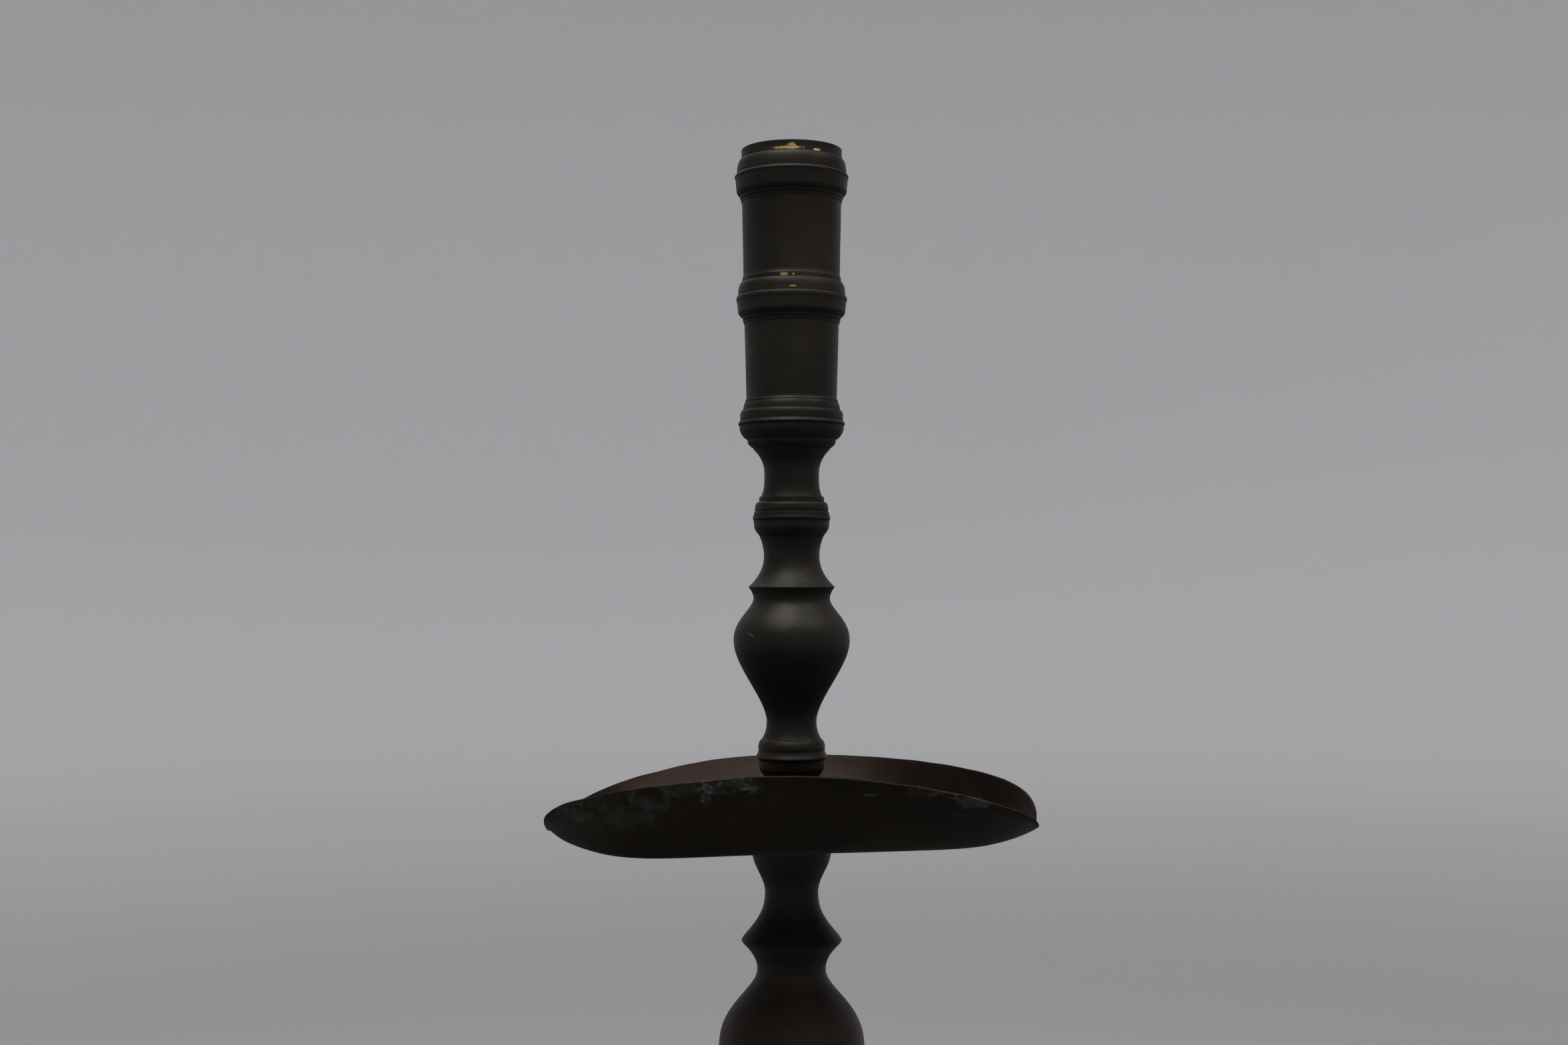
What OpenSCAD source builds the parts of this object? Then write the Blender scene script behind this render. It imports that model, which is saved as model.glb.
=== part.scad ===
// Tall turned brass candlestick with a long candle socket and a bent drip pan.
// Origin: centre of the foot's rest ring, +Z up. The front of the object faces -Y.
// Outlines are lists of [radius, depth below the top of the piece].

/* [Candle socket] */
// Diameter of the bore for the candle
candle_bore = 41; // [38:0.5:42]
// Depth of the bore for the candle
candle_depth = 59; // [54:0.5:60]
// Height of the upper socket piece
socket_top_h = 64; // [62:0.5:68]
// Diameter of the rim
rim_d = 50.4; // [49:0.1:52]
// Height of the plain band under the rim
rim_band_h = 5; // [4:0.1:6]
// Height of the rounded moulding under that band
rim_round_h = 6.4; // [5:0.1:7.5]
// Diameter of the rounded moulding at its foot
rim_round_d = 54.8; // [53.5:0.1:55.6]
// Diameter of the lip under the rim
rim_lip_d = 57; // [56.5:0.1:59]
// Thickness of the lip under the rim at its edge
rim_lip_t = 0.5; // [0.3:0.1:1]
// Height of the nearly upright band under that lip
rim_fascia_h = 5.2; // [4.6:0.1:6]
// Diameter of the upper tube at its top
upper_tube_d = 49.6; // [48.5:0.1:50.2]
// Diameter of the upper tube at its foot
upper_tube_foot_d = 48.2; // [47:0.1:49]
// Height of the lower socket piece
socket_base_h = 61.5; // [60:0.1:68]
// Diameter of the middle band at its top
middle_band_d = 49.6; // [49:0.1:50.6]
// Height of the middle band
middle_band_h = 2.3; // [1.5:0.1:3]
// Height of the rounded moulding on the middle ring
middle_round_h = 5.3; // [4.4:0.1:6.4]
// Diameter of the rounded moulding on the middle ring
middle_round_d = 53.5; // [52.5:0.1:54.2]
// Diameter of the middle lip
middle_lip_d = 55.4; // [54.8:0.1:57]
// Thickness of the middle lip at its edge
middle_lip_t = 1.2; // [0.6:0.1:1.6]
// Height of the nearly upright band under the middle lip
middle_fascia_h = 4.5; // [3.8:0.1:5.2]
// Diameter of the lower tube at its top
lower_tube_d = 47.2; // [46:0.1:48]
// Diameter of the lower tube at its foot
lower_tube_foot_d = 45.2; // [44:0.1:46.2]
// Flare of a tube where it meets the ring below it
tube_flare = 0.5; // [0.2:0.1:0.8]

/* [Mouldings under the lips] */
// Height of the quarter round under a lip
under_round_h = 2.8; // [2:0.1:3.4]
// Height of the small band under the quarter round
under_band_h = 1.7; // [1.2:0.1:2.4]
// Height of the step between that band and the tube
under_step_h = 2.4; // [1.6:0.1:3]

/* [Cup and first neck] */
// Height of the cup and neck piece
cup_neck_h = 47.5; // [45:0.5:52]
// Diameter of the band on top of the cup
cup_band_d = 48; // [47:0.1:49]
// Height of that band
cup_band_h = 4.5; // [3.4:0.1:5.2]
// Height of the rounded moulding on the cup
cup_round_h = 2.8; // [2.2:0.1:3.6]
// Diameter of the rounded moulding on the cup
cup_round_d = 51.5; // [50.6:0.1:52.4]
// Diameter of the cup's lip
cup_lip_d = 53.3; // [52.8:0.1:55]
// Height of the cup's first step
cup_step_one_h = 6.6; // [5.6:0.1:7.4]
// Diameter of the cup's first step
cup_step_one_d = 44.6; // [42:0.1:46]
// Height of the cup's second step
cup_step_two_h = 4; // [3.2:0.1:4.8]
// Diameter of the cup's second step
cup_step_two_d = 38.6; // [36:0.1:40]
// Diameter of the first neck
first_neck_d = 27.4; // [25:0.1:30]
// Depth of the first neck's narrowest place below the top of its piece
first_neck_at = 37.2; // [35:0.1:39]
// Diameter at the foot of the first neck
first_neck_foot_d = 30.6; // [30.2:0.1:31.4]

/* [Ring knop and ridge] */
// Height of the ring knop piece
ring_knop_h = 50.7; // [48:0.1:55]
// Diameter of the band on top of the ring knop
knop_band_d = 32.5; // [31.6:0.1:33]
// Diameter of the bead on the ring knop
knop_bead_d = 36.7; // [35.6:0.1:37.4]
// Height of the bead on the ring knop
knop_bead_h = 3.2; // [2.6:0.1:3.8]
// Diameter of the ring knop's lip
knop_lip_d = 38.8; // [38:0.1:41]
// Depth of the ring knop's lip below the top of its piece
knop_lip_at = 10.5; // [9.8:0.1:11.2]
// Diameter of the small band under the ring knop
knop_under_d = 31.8; // [30.8:0.1:33]
// Diameter of the second neck
second_neck_d = 27.8; // [25:0.1:30]
// Depth of the second neck's narrowest place below the top of its piece
second_neck_at = 29; // [27:0.1:31]
// Diameter of the sharp ridge
ridge_d = 43.2; // [41:0.1:47]
// Depth of the sharp ridge below the top of its piece
ridge_at = 45.1; // [42.5:0.1:46.5]
// Diameter of the waist on top of the baluster
waist_d = 38.4; // [36:0.1:40]

/* [Upper baluster] */
// Height of the baluster piece
baluster_h = 70; // [68:0.5:78]
// Largest diameter of the baluster
baluster_d = 58.1; // [54:0.1:64]
// Depth of the largest diameter below the waist
baluster_at = 21.7; // [19:0.1:26]
// Diameter of the baluster's neck
baluster_neck_d = 25; // [24:0.1:28]
// Depth of the baluster's neck below the waist
baluster_neck_at = 61.5; // [58:0.1:63.5]
// Diameter at the foot of the baluster's neck
baluster_foot_d = 29.4; // [28:0.1:30]

/* [Pan collar] */
// Height of the collar piece that stands in the pan
pan_collar_h = 45.4; // [43:0.1:52]
// Diameter of the collar's upper band
collar_band_d = 33.5; // [32.4:0.1:34.4]
// Diameter of the collar's lip
collar_lip_d = 35.9; // [35.2:0.1:38]
// Depth of the collar's lip below the top of its piece
collar_lip_at = 9; // [8.4:0.1:9.8]
// Diameter of the band under the collar's lip
collar_low_d = 32.8; // [31.4:0.1:34]
// Diameter of the neck that stands in the pan
pan_neck_d = 25.8; // [24:0.1:27]
// Diameter of the flange that rests on the pan
pan_flange_d = 40; // [36:0.5:46]
// Height of that flange
pan_flange_h = 4.2; // [3:0.1:5.4]

/* [Drip pan] */
// Diameter of the pan from side to side
pan_d = 243.8; // [225:1:260]
// Thickness of the pan's sheet
pan_t = 1.3; // [1:0.1:2]
// How high the front edge is bent up above the floor
front_lift = 38.4; // [25:0.1:44]
// How high the back edge is bent up above the floor
back_lift = 26.4; // [18:0.1:36]
// How high the edge stands at the left and right ends
side_lift = 1.8; // [1.5:0.1:5]
// How far the bent front edge comes in towards the stem
front_draw = 12; // [6:0.5:18]
// How far the bent back edge comes in towards the stem
back_draw = 7; // [3:0.5:12]
// Distance from the stem's axis to the front crease
front_crease = 73; // [66:0.5:80]
// Distance from the stem's axis to the back crease
back_crease = 82; // [74:0.5:90]
// Turn of the creases about the stem, in degrees
crease_turn = 10; // [0:0.1:15]
// Width of the strip that stays bent up along the edge
edge_strip = 4; // [3:0.5:8]
// Width of that strip at the front right
wide_strip = 18; // [8:0.5:22]

/* [Pan support and lower ridge] */
// Height of the support under the pan
support_h = 68.3; // [66:0.1:76]
// Diameter of the support's flange
support_flange_d = 42; // [40.5:0.5:48]
// Height of the support's flange
support_flange_h = 3.6; // [3:0.1:4.4]
// Diameter of the cup under that flange
support_cup_d = 39.8; // [38:0.1:40.2]
// Diameter of the support's neck
support_neck_d = 26.7; // [26:0.1:30]
// Depth of the neck below the top of the support
support_neck_at = 29.7; // [27:0.1:34]
// Diameter of the lower ridge
low_ridge_d = 50.1; // [46:0.1:56]
// Depth of the lower ridge below the top of the support
low_ridge_at = 54.1; // [51:0.1:57]
// Diameter of the waist on top of the main knop
low_waist_d = 34.3; // [32:0.1:38]

/* [Main knop] */
// Height of the main knop piece
main_knop_h = 112; // [108:0.5:124]
// Largest diameter of the main knop
main_knop_d = 73; // [66:0.5:84]
// Depth of the largest diameter below the waist
main_knop_at = 42.7; // [38:0.1:48]
// Diameter of the main knop's neck
main_neck_d = 31; // [30:0.5:36]
// Depth of the main knop's neck below the waist
main_neck_at = 101; // [96:0.5:104]
// Diameter at the foot of the main knop's neck
main_foot_d = 36.4; // [34.5:0.1:37]

/* [Foot] */
// Height of the collar on the foot
foot_collar_h = 26; // [25:0.5:32]
// Diameter of the foot collar's upper band
foot_band_d = 41.2; // [39.6:0.1:43]
// Diameter of the foot collar's lip
foot_lip_d = 45; // [44:0.1:48]
// Diameter of the foot collar's hollow
foot_hollow_d = 35.8; // [34:0.1:38]
// Diameter of the foot collar's flange
foot_flange_d = 52; // [48:0.5:54]
// Height of the foot
foot_h = 109.3; // [104:0.1:120]
// Diameter of the foot at the floor
foot_d = 270; // [255:1:300]
// Diameter on top of the foot
foot_top_d = 57.2; // [56:0.1:62]
// Diameter where the foot's hollow sweep ends
sweep_d = 128; // [116:1:140]
// Depth of the end of that sweep below the top of the foot
sweep_at = 48; // [44:0.5:52]
// Diameter of the foot's dome
dome_d = 228; // [215:1:240]
// Depth of the dome's lower edge below the top of the foot
dome_at = 86; // [80:0.5:88]
// Height of the foot's upright edge
foot_edge_h = 9.4; // [7:0.1:12]
// Wall of the foot
foot_wall = 4; // [3:0.1:5]
// Thickness of the foot's crown, where the washer bears
foot_crown = 12; // [10:0.5:15]

/* [Rods and nuts] */
// Diameter of both iron rods
rod_d = 12; // [10:0.5:12.5]
// Diameter of the screw under the upper stem
screw_d = 16; // [15:0.5:16.5]
// Length of the screw below the upper stem
screw_l = 23; // [21:0.5:24]
// Diameter of the forged shoulder on the upper rod
shoulder_d = 22; // [20:0.5:23]
// Thickness of that shoulder
shoulder_t = 5; // [4:0.5:7]
// Width across the flats of the square nuts
nut_af = 20; // [19:0.5:21]
// Thickness of the square nuts
nut_t = 10; // [8:0.5:11]
// Length of rod that stands out of a nut
rod_end = 2; // [1:0.5:3]
// Diameter of the washer in the socket
rod_washer_d = 28; // [26:0.5:29]
// Diameter of the washer under the foot
foot_washer_d = 44; // [36:0.5:48]
// Thickness of both washers
washer_t = 2.5; // [2:0.5:4]
// Diameter of the thin ring nut under the pan
pan_ring_d = 25; // [24:0.5:26]
// Thickness of the ring nut
pan_ring_t = 4; // [3:0.1:5]
// Diameter of the bush's body
bush_d = 21; // [20:0.5:21.5]
// Thickness of the bush's flange
bush_flange_t = 3; // [2:0.5:4]
// Length of the bush under its flange
bush_l = 27; // [25:0.5:28]
// Length of lower rod that is screwed into the bush
rod_in_bush = 10; // [6:0.5:10]

/* [Fits and walls] */
// Height of the spigots that centre the pieces on each other
spigot_h = 4; // [3:0.5:5]
// Gap round a spigot
spigot_gap = 0.1; // [0.05:0.05:0.2]
// Gap between a rod and the pieces on it
rod_gap = 0.5; // [0.3:0.1:0.8]
// Running gap of the screw in its bush
screw_gap = 0.06; // [0.02:0.01:0.1]
// Gap round the screw in the pan, and round the ring nut
pan_gap = 0.4; // [0.2:0.1:0.8]
// Wall of the hollow cast knops
cast_wall = 5; // [4:0.5:6]
// How far the baluster's hollow reaches above its largest diameter
core_above = 13; // [10:0.5:15]
// How far that hollow stops above the neck
core_short = 18; // [15:0.5:22]
// How far the main knop's hollow reaches above its largest diameter
main_core_above = 27; // [22:0.5:30]
// How far that hollow stops above the neck
main_core_short = 24; // [20:0.5:30]
// Thickness of the web in the socket that the nut bears on
web_t = 6; // [5:0.5:8]

/* [Hidden] */

round_fn = 96;
curve_steps = 12;
long_steps = 22;
eps = 0.01;

bronze = "#3b342d";
dark_bronze = "#2b2622";
pan_brown = "#3f2e27";
iron = "#45413d";

// Heights of the seams above the floor, from the foot up
foot_top_z = foot_h;
foot_collar_z = foot_top_z + foot_collar_h;
main_knop_z = foot_collar_z + main_knop_h;
support_z = main_knop_z + support_h;
pan_floor_z = support_z + pan_t;
pan_collar_z = pan_floor_z + pan_collar_h;
baluster_z = pan_collar_z + baluster_h;
ring_knop_z = baluster_z + ring_knop_h;
cup_neck_z = ring_knop_z + cup_neck_h;
socket_base_z = cup_neck_z + socket_base_h;
socket_top_z = socket_base_z + socket_top_h;

// Registers between the pieces
bore_r = candle_bore / 2;
floor_boss_r = bore_r + 1;
floor_boss_h = socket_top_h - candle_depth;
cup_boss_r = first_neck_d / 2;
knop_boss_r = first_neck_foot_d / 2 - 4.8;
baluster_boss_r = waist_d / 2 - 7;
collar_boss_r = baluster_neck_d / 2 - 2.5;
main_boss_r = low_waist_d / 2 - 6;
foot_collar_boss_r = main_neck_d / 2 - 4;
foot_boss_r = foot_hollow_d / 2 - 5;

rod_r = rod_d / 2;
rod_hole_r = rod_r + rod_gap;
screw_r = screw_d / 2;

// Recess for the washer and the nut under the candle
nut_recess_r = rod_washer_d / 2 + 0.6;
web_top_z = socket_base_z + floor_boss_h - 1.5 - rod_end - nut_t - washer_t;
upper_rod_top_z = web_top_z + washer_t + nut_t + rod_end;

// Screw, ring nut and bush under the pan
screw_end_z = pan_floor_z - screw_l;
bush_top_z = support_z - pan_ring_t - 0.3;
bush_flange_r = pan_ring_d / 2 + pan_gap;
bush_floor_z = screw_end_z - 1;
bush_end_z = bush_top_z - bush_flange_t - bush_l;
lower_rod_top_z = bush_end_z + rod_in_bush;

// Washer and nut under the foot's crown
crown_z = foot_top_z - foot_crown;
foot_nut_z = crown_z - washer_t;
lower_rod_end_z = foot_nut_z - nut_t - rod_end;

// One point of a turned curve that leaves p parallel to the axis and ends at q
function turned_point(p, q, t, fall, bend) =
    [q[0] + (p[0] - q[0]) * pow(1 - pow(t, fall), bend), p[1] + (q[1] - p[1]) * t];

// Points after p up to q, parallel to the axis at p
function leave(p, q, fall, bend = 1, steps = curve_steps) =
    [for (i = [1:steps]) turned_point(p, q, sin(90 * i / steps), fall, bend)];

// Points after p up to q, parallel to the axis at q
function arrive(p, q, fall, bend = 1, steps = curve_steps) =
    [for (i = [steps - 1:-1:0]) turned_point(q, p, sin(90 * i / steps), fall, bend)];

// Quarter rounds: one swells out from p to q, the other turns in under p
function round_out(p, q, steps = curve_steps) = arrive(p, q, 2, 0.5, steps);
function round_in(p, q, steps = curve_steps) = leave(p, q, 2, 0.5, steps);

// Underside of a lip down to the tube below it: undercut, band, quarter round, small band, step
function under_lip(lip_r, lip_at, fascia_h, tube_r) = let (
        inner_r = lip_r - 0.5,
        band_at = lip_at + 1,
        round_at = band_at + fascia_h,
        small_at = round_at + under_round_h,
        small_r = tube_r + 1,
        step_at = small_at + under_band_h)
    concat([[inner_r + 0.1, band_at], [inner_r - 0.4, round_at]],
           leave([inner_r - 0.4, round_at], [small_r + 0.2, small_at], 2, 0.8),
           [[small_r, small_at + 0.1], [small_r - 0.2, step_at], [small_r - 0.45, step_at + 0.15]],
           [[tube_r + 0.4, step_at + under_step_h * 0.6]],
           arrive([tube_r + 0.3, step_at + under_step_h * 0.65], [tube_r, step_at + under_step_h], 2));

// A solid of revolution from an outline, with its top at height top
module turned(outline, top) {
    last = outline[len(outline) - 1];
    rotate_extrude($fn = round_fn)
        polygon(concat([[0, top - outline[0][1]]],
                       [for (p = outline) [p[0], top - p[1]]],
                       [[0, top - last[1]]]));
}

// A round hole or recess from height low to height high
module hole(r, low, high) {
    translate([0, 0, low])
        cylinder(r = r, h = high - low, $fn = round_fn);
}

// A spigot on top of a piece, centred on the axis
module spigot(r, top) {
    translate([0, 0, top - eps])
        cylinder(r = r - spigot_gap, h = spigot_h - spigot_gap + eps, $fn = round_fn);
}

// The recess that takes the spigot of the piece below
module spigot_recess(r, low) {
    hole(r, low - eps, low + spigot_h);
}

// The cored hollow of a cast knop: its outline less the wall, between two depths
module core(outline, top, from_depth, to_depth) {
    inside = [for (p = outline) if (p[1] >= from_depth && p[1] <= to_depth) [p[0] - cast_wall, top - p[1]]];
    rotate_extrude($fn = round_fn)
        polygon(concat([[0, inside[0][1]]], inside, [[0, inside[len(inside) - 1][1]]]));
}

function socket_top_outline() = let (
        rim_r = rim_d / 2,
        round_at = rim_band_h + rim_round_h,
        lip_at = round_at + 2,
        foot_r = upper_tube_foot_d / 2,
        foot_at = socket_top_h - 2)
    concat([[rim_r - 0.3, 0], [rim_r, 0.3], [rim_r - 0.15, rim_band_h / 2], [rim_r + 0.1, rim_band_h]],
           round_out([rim_r + 0.1, rim_band_h], [rim_round_d / 2, round_at]),
           [[rim_round_d / 2, round_at + 0.9], [rim_lip_d / 2, lip_at]],
           [[rim_lip_d / 2, lip_at + rim_lip_t]],
           under_lip(rim_lip_d / 2, lip_at + rim_lip_t, rim_fascia_h, upper_tube_d / 2),
           [[foot_r, foot_at]],
           leave([foot_r, foot_at], [foot_r + tube_flare, socket_top_h], 2));

module socket_top() {
    color(bronze)
    difference() {
        turned(socket_top_outline(), socket_top_z);
        hole(bore_r, socket_base_z - eps, socket_top_z + eps);
        hole(floor_boss_r, socket_base_z - eps, socket_base_z + floor_boss_h);
    }
}

function socket_base_outline() = let (
        band_r = middle_band_d / 2,
        round_at = middle_band_h + middle_round_h,
        lip_at = round_at + 2.3,
        foot_r = lower_tube_foot_d / 2,
        foot_at = socket_base_h - 2.2)
    concat([[band_r - 0.25, 0], [band_r - 0.1, 0.35], [band_r, middle_band_h]],
           round_out([band_r + 0.1, middle_band_h + 0.1], [middle_round_d / 2, round_at]),
           [[middle_round_d / 2 + 0.1, round_at + 1.4], [middle_lip_d / 2, lip_at]],
           [[middle_lip_d / 2, lip_at + middle_lip_t]],
           under_lip(middle_lip_d / 2, lip_at + middle_lip_t, middle_fascia_h, lower_tube_d / 2),
           [[foot_r, foot_at]],
           leave([foot_r, foot_at], [foot_r + tube_flare + 0.2, socket_base_h], 2));

module socket_base() {
    cavity_top_z = web_top_z - web_t;
    cavity_low_z = cup_neck_z + spigot_h + 3;
    color(bronze)
    difference() {
        union() {
            turned(socket_base_outline(), socket_base_z);
            translate([0, 0, socket_base_z - eps])
                cylinder(r = floor_boss_r - spigot_gap, h = floor_boss_h + eps, $fn = round_fn);
        }
        hole(nut_recess_r, web_top_z, socket_base_z + floor_boss_h + eps);
        hole(rod_hole_r, cup_neck_z - eps, socket_base_z);
        hole(lower_tube_foot_d / 2 - cast_wall, cavity_low_z, cavity_top_z);
        spigot_recess(cup_boss_r, cup_neck_z);
    }
}

function cup_neck_outline() = let (
        band_r = cup_band_d / 2,
        round_at = cup_band_h + cup_round_h,
        lip_at = round_at + 3.6,
        lip_r = cup_lip_d / 2,
        one_at = lip_at + 1.2 + cup_step_one_h,
        two_at = one_at + 1.4 + cup_step_two_h,
        neck = [first_neck_d / 2, first_neck_at])
    concat([[band_r - 1, 0], [band_r - 0.3, 1.4], [band_r, 2.4], [band_r + 0.3, cup_band_h]],
           round_out([band_r + 0.5, cup_band_h + 0.1], [cup_round_d / 2, round_at]),
           [[cup_round_d / 2 - 0.1, round_at + 2.2], [lip_r, lip_at], [lip_r, lip_at + 0.5]],
           [[lip_r - 0.5, lip_at + 1.2]],
           leave([lip_r - 0.5, lip_at + 1.2], [cup_step_one_d / 2 + 0.4, one_at], 2, 0.75),
           [[cup_step_one_d / 2, one_at], [cup_step_one_d / 2 - 0.3, one_at + 1.3]],
           leave([cup_step_one_d / 2 - 0.3, one_at + 1.3], [cup_step_two_d / 2 + 0.3, two_at - 1], 2),
           [[cup_step_two_d / 2, two_at - 1], [cup_step_two_d / 2 - 0.3, two_at]],
           arrive([cup_step_two_d / 2 - 0.5, two_at + 0.1], neck, 2.6),
           leave(neck, [first_neck_foot_d / 2, cup_neck_h], 2.95));

module cup_neck() {
    color(dark_bronze)
    difference() {
        union() {
            turned(cup_neck_outline(), cup_neck_z);
            spigot(cup_boss_r, cup_neck_z);
        }
        hole(rod_hole_r, ring_knop_z - eps, cup_neck_z + spigot_h);
        spigot_recess(knop_boss_r, ring_knop_z);
    }
}

function ring_knop_outline() = let (
        band_r = knop_band_d / 2,
        bead_r = knop_bead_d / 2,
        lip_r = knop_lip_d / 2,
        bead_at = 2.7 + knop_bead_h,
        under_at = knop_lip_at + 9,
        neck = [second_neck_d / 2, second_neck_at])
    concat([[band_r - 0.3, 0], [band_r, 0.4], [band_r, 2.6]],
           round_out([band_r + 0.3, 2.7], [bead_r, bead_at]),
           [[bead_r, bead_at + 1], [bead_r - 0.2, bead_at + 1.4], [bead_r + 0.3, bead_at + 1.7]],
           [[bead_r + 0.6, knop_lip_at - 1], [lip_r, knop_lip_at - 0.2], [lip_r, knop_lip_at + 0.7]],
           [[lip_r - 0.4, knop_lip_at + 1.2], [lip_r - 0.6, knop_lip_at + 3.8]],
           leave([lip_r - 0.6, knop_lip_at + 3.8], [knop_under_d / 2 + 0.3, under_at], 2, 1.25),
           [[knop_under_d / 2 + 0.1, under_at + 0.1], [knop_under_d / 2 - 0.3, under_at + 1.4]],
           arrive([knop_under_d / 2 - 0.4, under_at + 1.5], neck, 1.8),
           leave(neck, [ridge_d / 2 - 0.1, ridge_at - 0.2], 2.26),
           [[ridge_d / 2, ridge_at], [ridge_d / 2 - 0.2, ridge_at + 0.4]],
           arrive([ridge_d / 2 - 0.3, ridge_at + 0.5], [waist_d / 2, ring_knop_h], 1.9));

module ring_knop() {
    color(bronze)
    difference() {
        union() {
            turned(ring_knop_outline(), ring_knop_z);
            spigot(knop_boss_r, ring_knop_z);
        }
        hole(rod_hole_r, baluster_z - eps, ring_knop_z + spigot_h);
        spigot_recess(baluster_boss_r, baluster_z);
    }
}

function baluster_outline() = let (
        belly = [baluster_d / 2, baluster_at],
        neck = [baluster_neck_d / 2, baluster_neck_at])
    concat([[waist_d / 2, 0]],
           arrive([waist_d / 2, 0], belly, 2.47, 2, long_steps),
           leave(belly, neck, 1.71, 1.81, long_steps),
           leave(neck, [baluster_foot_d / 2, baluster_h], 2.2));

module upper_baluster() {
    color(bronze)
    difference() {
        union() {
            turned(baluster_outline(), baluster_z);
            spigot(baluster_boss_r, baluster_z);
        }
        core(baluster_outline(), baluster_z, baluster_at - core_above, baluster_neck_at - core_short);
        hole(rod_hole_r, pan_collar_z - eps, baluster_z + spigot_h);
        spigot_recess(collar_boss_r, pan_collar_z);
    }
}

// Bands and lip of a collar, from its top down to the quarter round under it
function collar_bands(top_r, band_r, lip_r, low_r, lip_at) =
    concat([[top_r, 0], [top_r + 0.3, 0.3]],
           arrive([top_r + 0.3, 0.3], [band_r, lip_at * 0.48], 2, 0.85),
           [[band_r, lip_at * 0.55], [band_r - 0.15, lip_at * 0.61]],
           leave([band_r - 0.15, lip_at * 0.61], [lip_r - 0.15, lip_at - 0.3], 1.8),
           [[lip_r, lip_at], [lip_r, lip_at + 0.7], [low_r + 0.1, lip_at + 1.3]]);

function pan_collar_outline() = let (
        low_r = collar_low_d / 2,
        neck_r = pan_neck_d / 2,
        flange_r = pan_flange_d / 2,
        flange_at = pan_collar_h - pan_flange_h,
        round_at = collar_lip_at + 4.7)
    concat(collar_bands(baluster_foot_d / 2 + 0.1, collar_band_d / 2, collar_lip_d / 2, low_r, collar_lip_at),
           [[low_r, round_at]],
           leave([low_r, round_at], [neck_r + 0.5, round_at + 6], 2, 1.5),
           arrive([neck_r + 0.4, round_at + 6.1], [neck_r, round_at + 10], 2),
           leave([neck_r, round_at + 10], [flange_r - 1.6, flange_at], 2.2),
           [[flange_r - 0.4, flange_at + 0.1], [flange_r, flange_at + 0.5]],
           [[flange_r, pan_collar_h - 0.4], [flange_r - 0.4, pan_collar_h]]);

module pan_collar() {
    color(dark_bronze)
    difference() {
        union() {
            turned(pan_collar_outline(), pan_collar_z);
            spigot(collar_boss_r, pan_collar_z);
        }
        hole(rod_hole_r, pan_floor_z - eps, pan_collar_z + spigot_h);
        hole(shoulder_d / 2 + spigot_gap, pan_floor_z - eps, pan_floor_z + shoulder_t);
    }
}

// Square nut with its corners turned off, from height low up
module square_nut(low, bore) {
    difference() {
        intersection() {
            translate([-nut_af / 2, -nut_af / 2, low])
                cube([nut_af, nut_af, nut_t]);
            translate([0, 0, low])
                cylinder(r1 = nut_af * 0.7, r2 = nut_af * 0.56, h = nut_t, $fn = round_fn);
        }
        hole(bore, low - eps, low + nut_t + eps);
    }
}

// Flat washer from height low up
module washer(d, low) {
    difference() {
        hole(d / 2, low, low + washer_t);
        hole(rod_hole_r, low - eps, low + washer_t + eps);
    }
}

module upper_rod() {
    color(iron)
    union() {
        hole(screw_r, screw_end_z, pan_floor_z + eps);
        hole(shoulder_d / 2, pan_floor_z, pan_floor_z + shoulder_t);
        hole(rod_r, pan_floor_z + shoulder_t - eps, upper_rod_top_z);
    }
}

module rod_washer() {
    color(iron)
    washer(rod_washer_d, web_top_z);
}

module rod_nut() {
    color(iron)
    square_nut(web_top_z + washer_t, rod_r + screw_gap);
}

module pan_ring() {
    color(iron)
    difference() {
        hole(pan_ring_d / 2, support_z - pan_ring_t, support_z);
        hole(screw_r + screw_gap, support_z - pan_ring_t - eps, support_z + eps);
    }
}

// The pan's sheet. Angles run from the right end (0) by the back (90) and the left end (180)
// to the front (270). The rim lies high at the front and the back and low at both ends.
pan_angles = 84;
pan_rings = 11;
pan_hub_r = 30;
right_back_rise = 0.36;
left_back_rise = 1.35;
left_front_rise = 1.02;
right_front_rise = 1.25;
wall_bend = 2;
corner_power = 14;

function is_back(a) = a <= 180;
function is_right(a) = a <= 90 || a > 270;
function rise_power(a) = is_back(a)
    ? (is_right(a) ? right_back_rise : left_back_rise)
    : (is_right(a) ? right_front_rise : left_front_rise);
function rim_height(a) = side_lift
    + ((is_back(a) ? back_lift : front_lift) - side_lift) * pow(abs(sin(a)), rise_power(a));
function rim_radius(a) = pan_d / 2 - (is_back(a) ? back_draw : front_draw) * pow(sin(a), 4);
function strip_width(a) = edge_strip + (wide_strip - edge_strip) * pow(max(0, cos(a - 330)), 8);
function crease_radius(a) = let (
        side = is_back(a) ? 90 : 270,
        reach = (is_back(a) ? back_crease : front_crease) / max(0.35, cos(a - side - crease_turn)),
        limit = rim_radius(a) - strip_width(a))
    pow(pow(reach, -corner_power) + pow(limit, -corner_power), -1 / corner_power);

// Height and slope of the sheet at distance r from the axis
function sheet_share(a, r) = max(0, (r - crease_radius(a)) / (rim_radius(a) - crease_radius(a)));
function sheet_z(a, r) = rim_height(a) * pow(sheet_share(a, r), wall_bend);
function sheet_slope(a, r) = atan(rim_height(a) * wall_bend * sheet_share(a, r)
                                  / (rim_radius(a) - crease_radius(a)));

// Distance of ring k from the axis: even on the floor, closer together on the bent wall
function ring_radius(a, k) = let (floor_rings = 2)
    k <= floor_rings
    ? pan_hub_r + (crease_radius(a) - pan_hub_r) * k / floor_rings
    : crease_radius(a) + (rim_radius(a) - crease_radius(a)) * (k - floor_rings) / (pan_rings - floor_rings);

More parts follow.
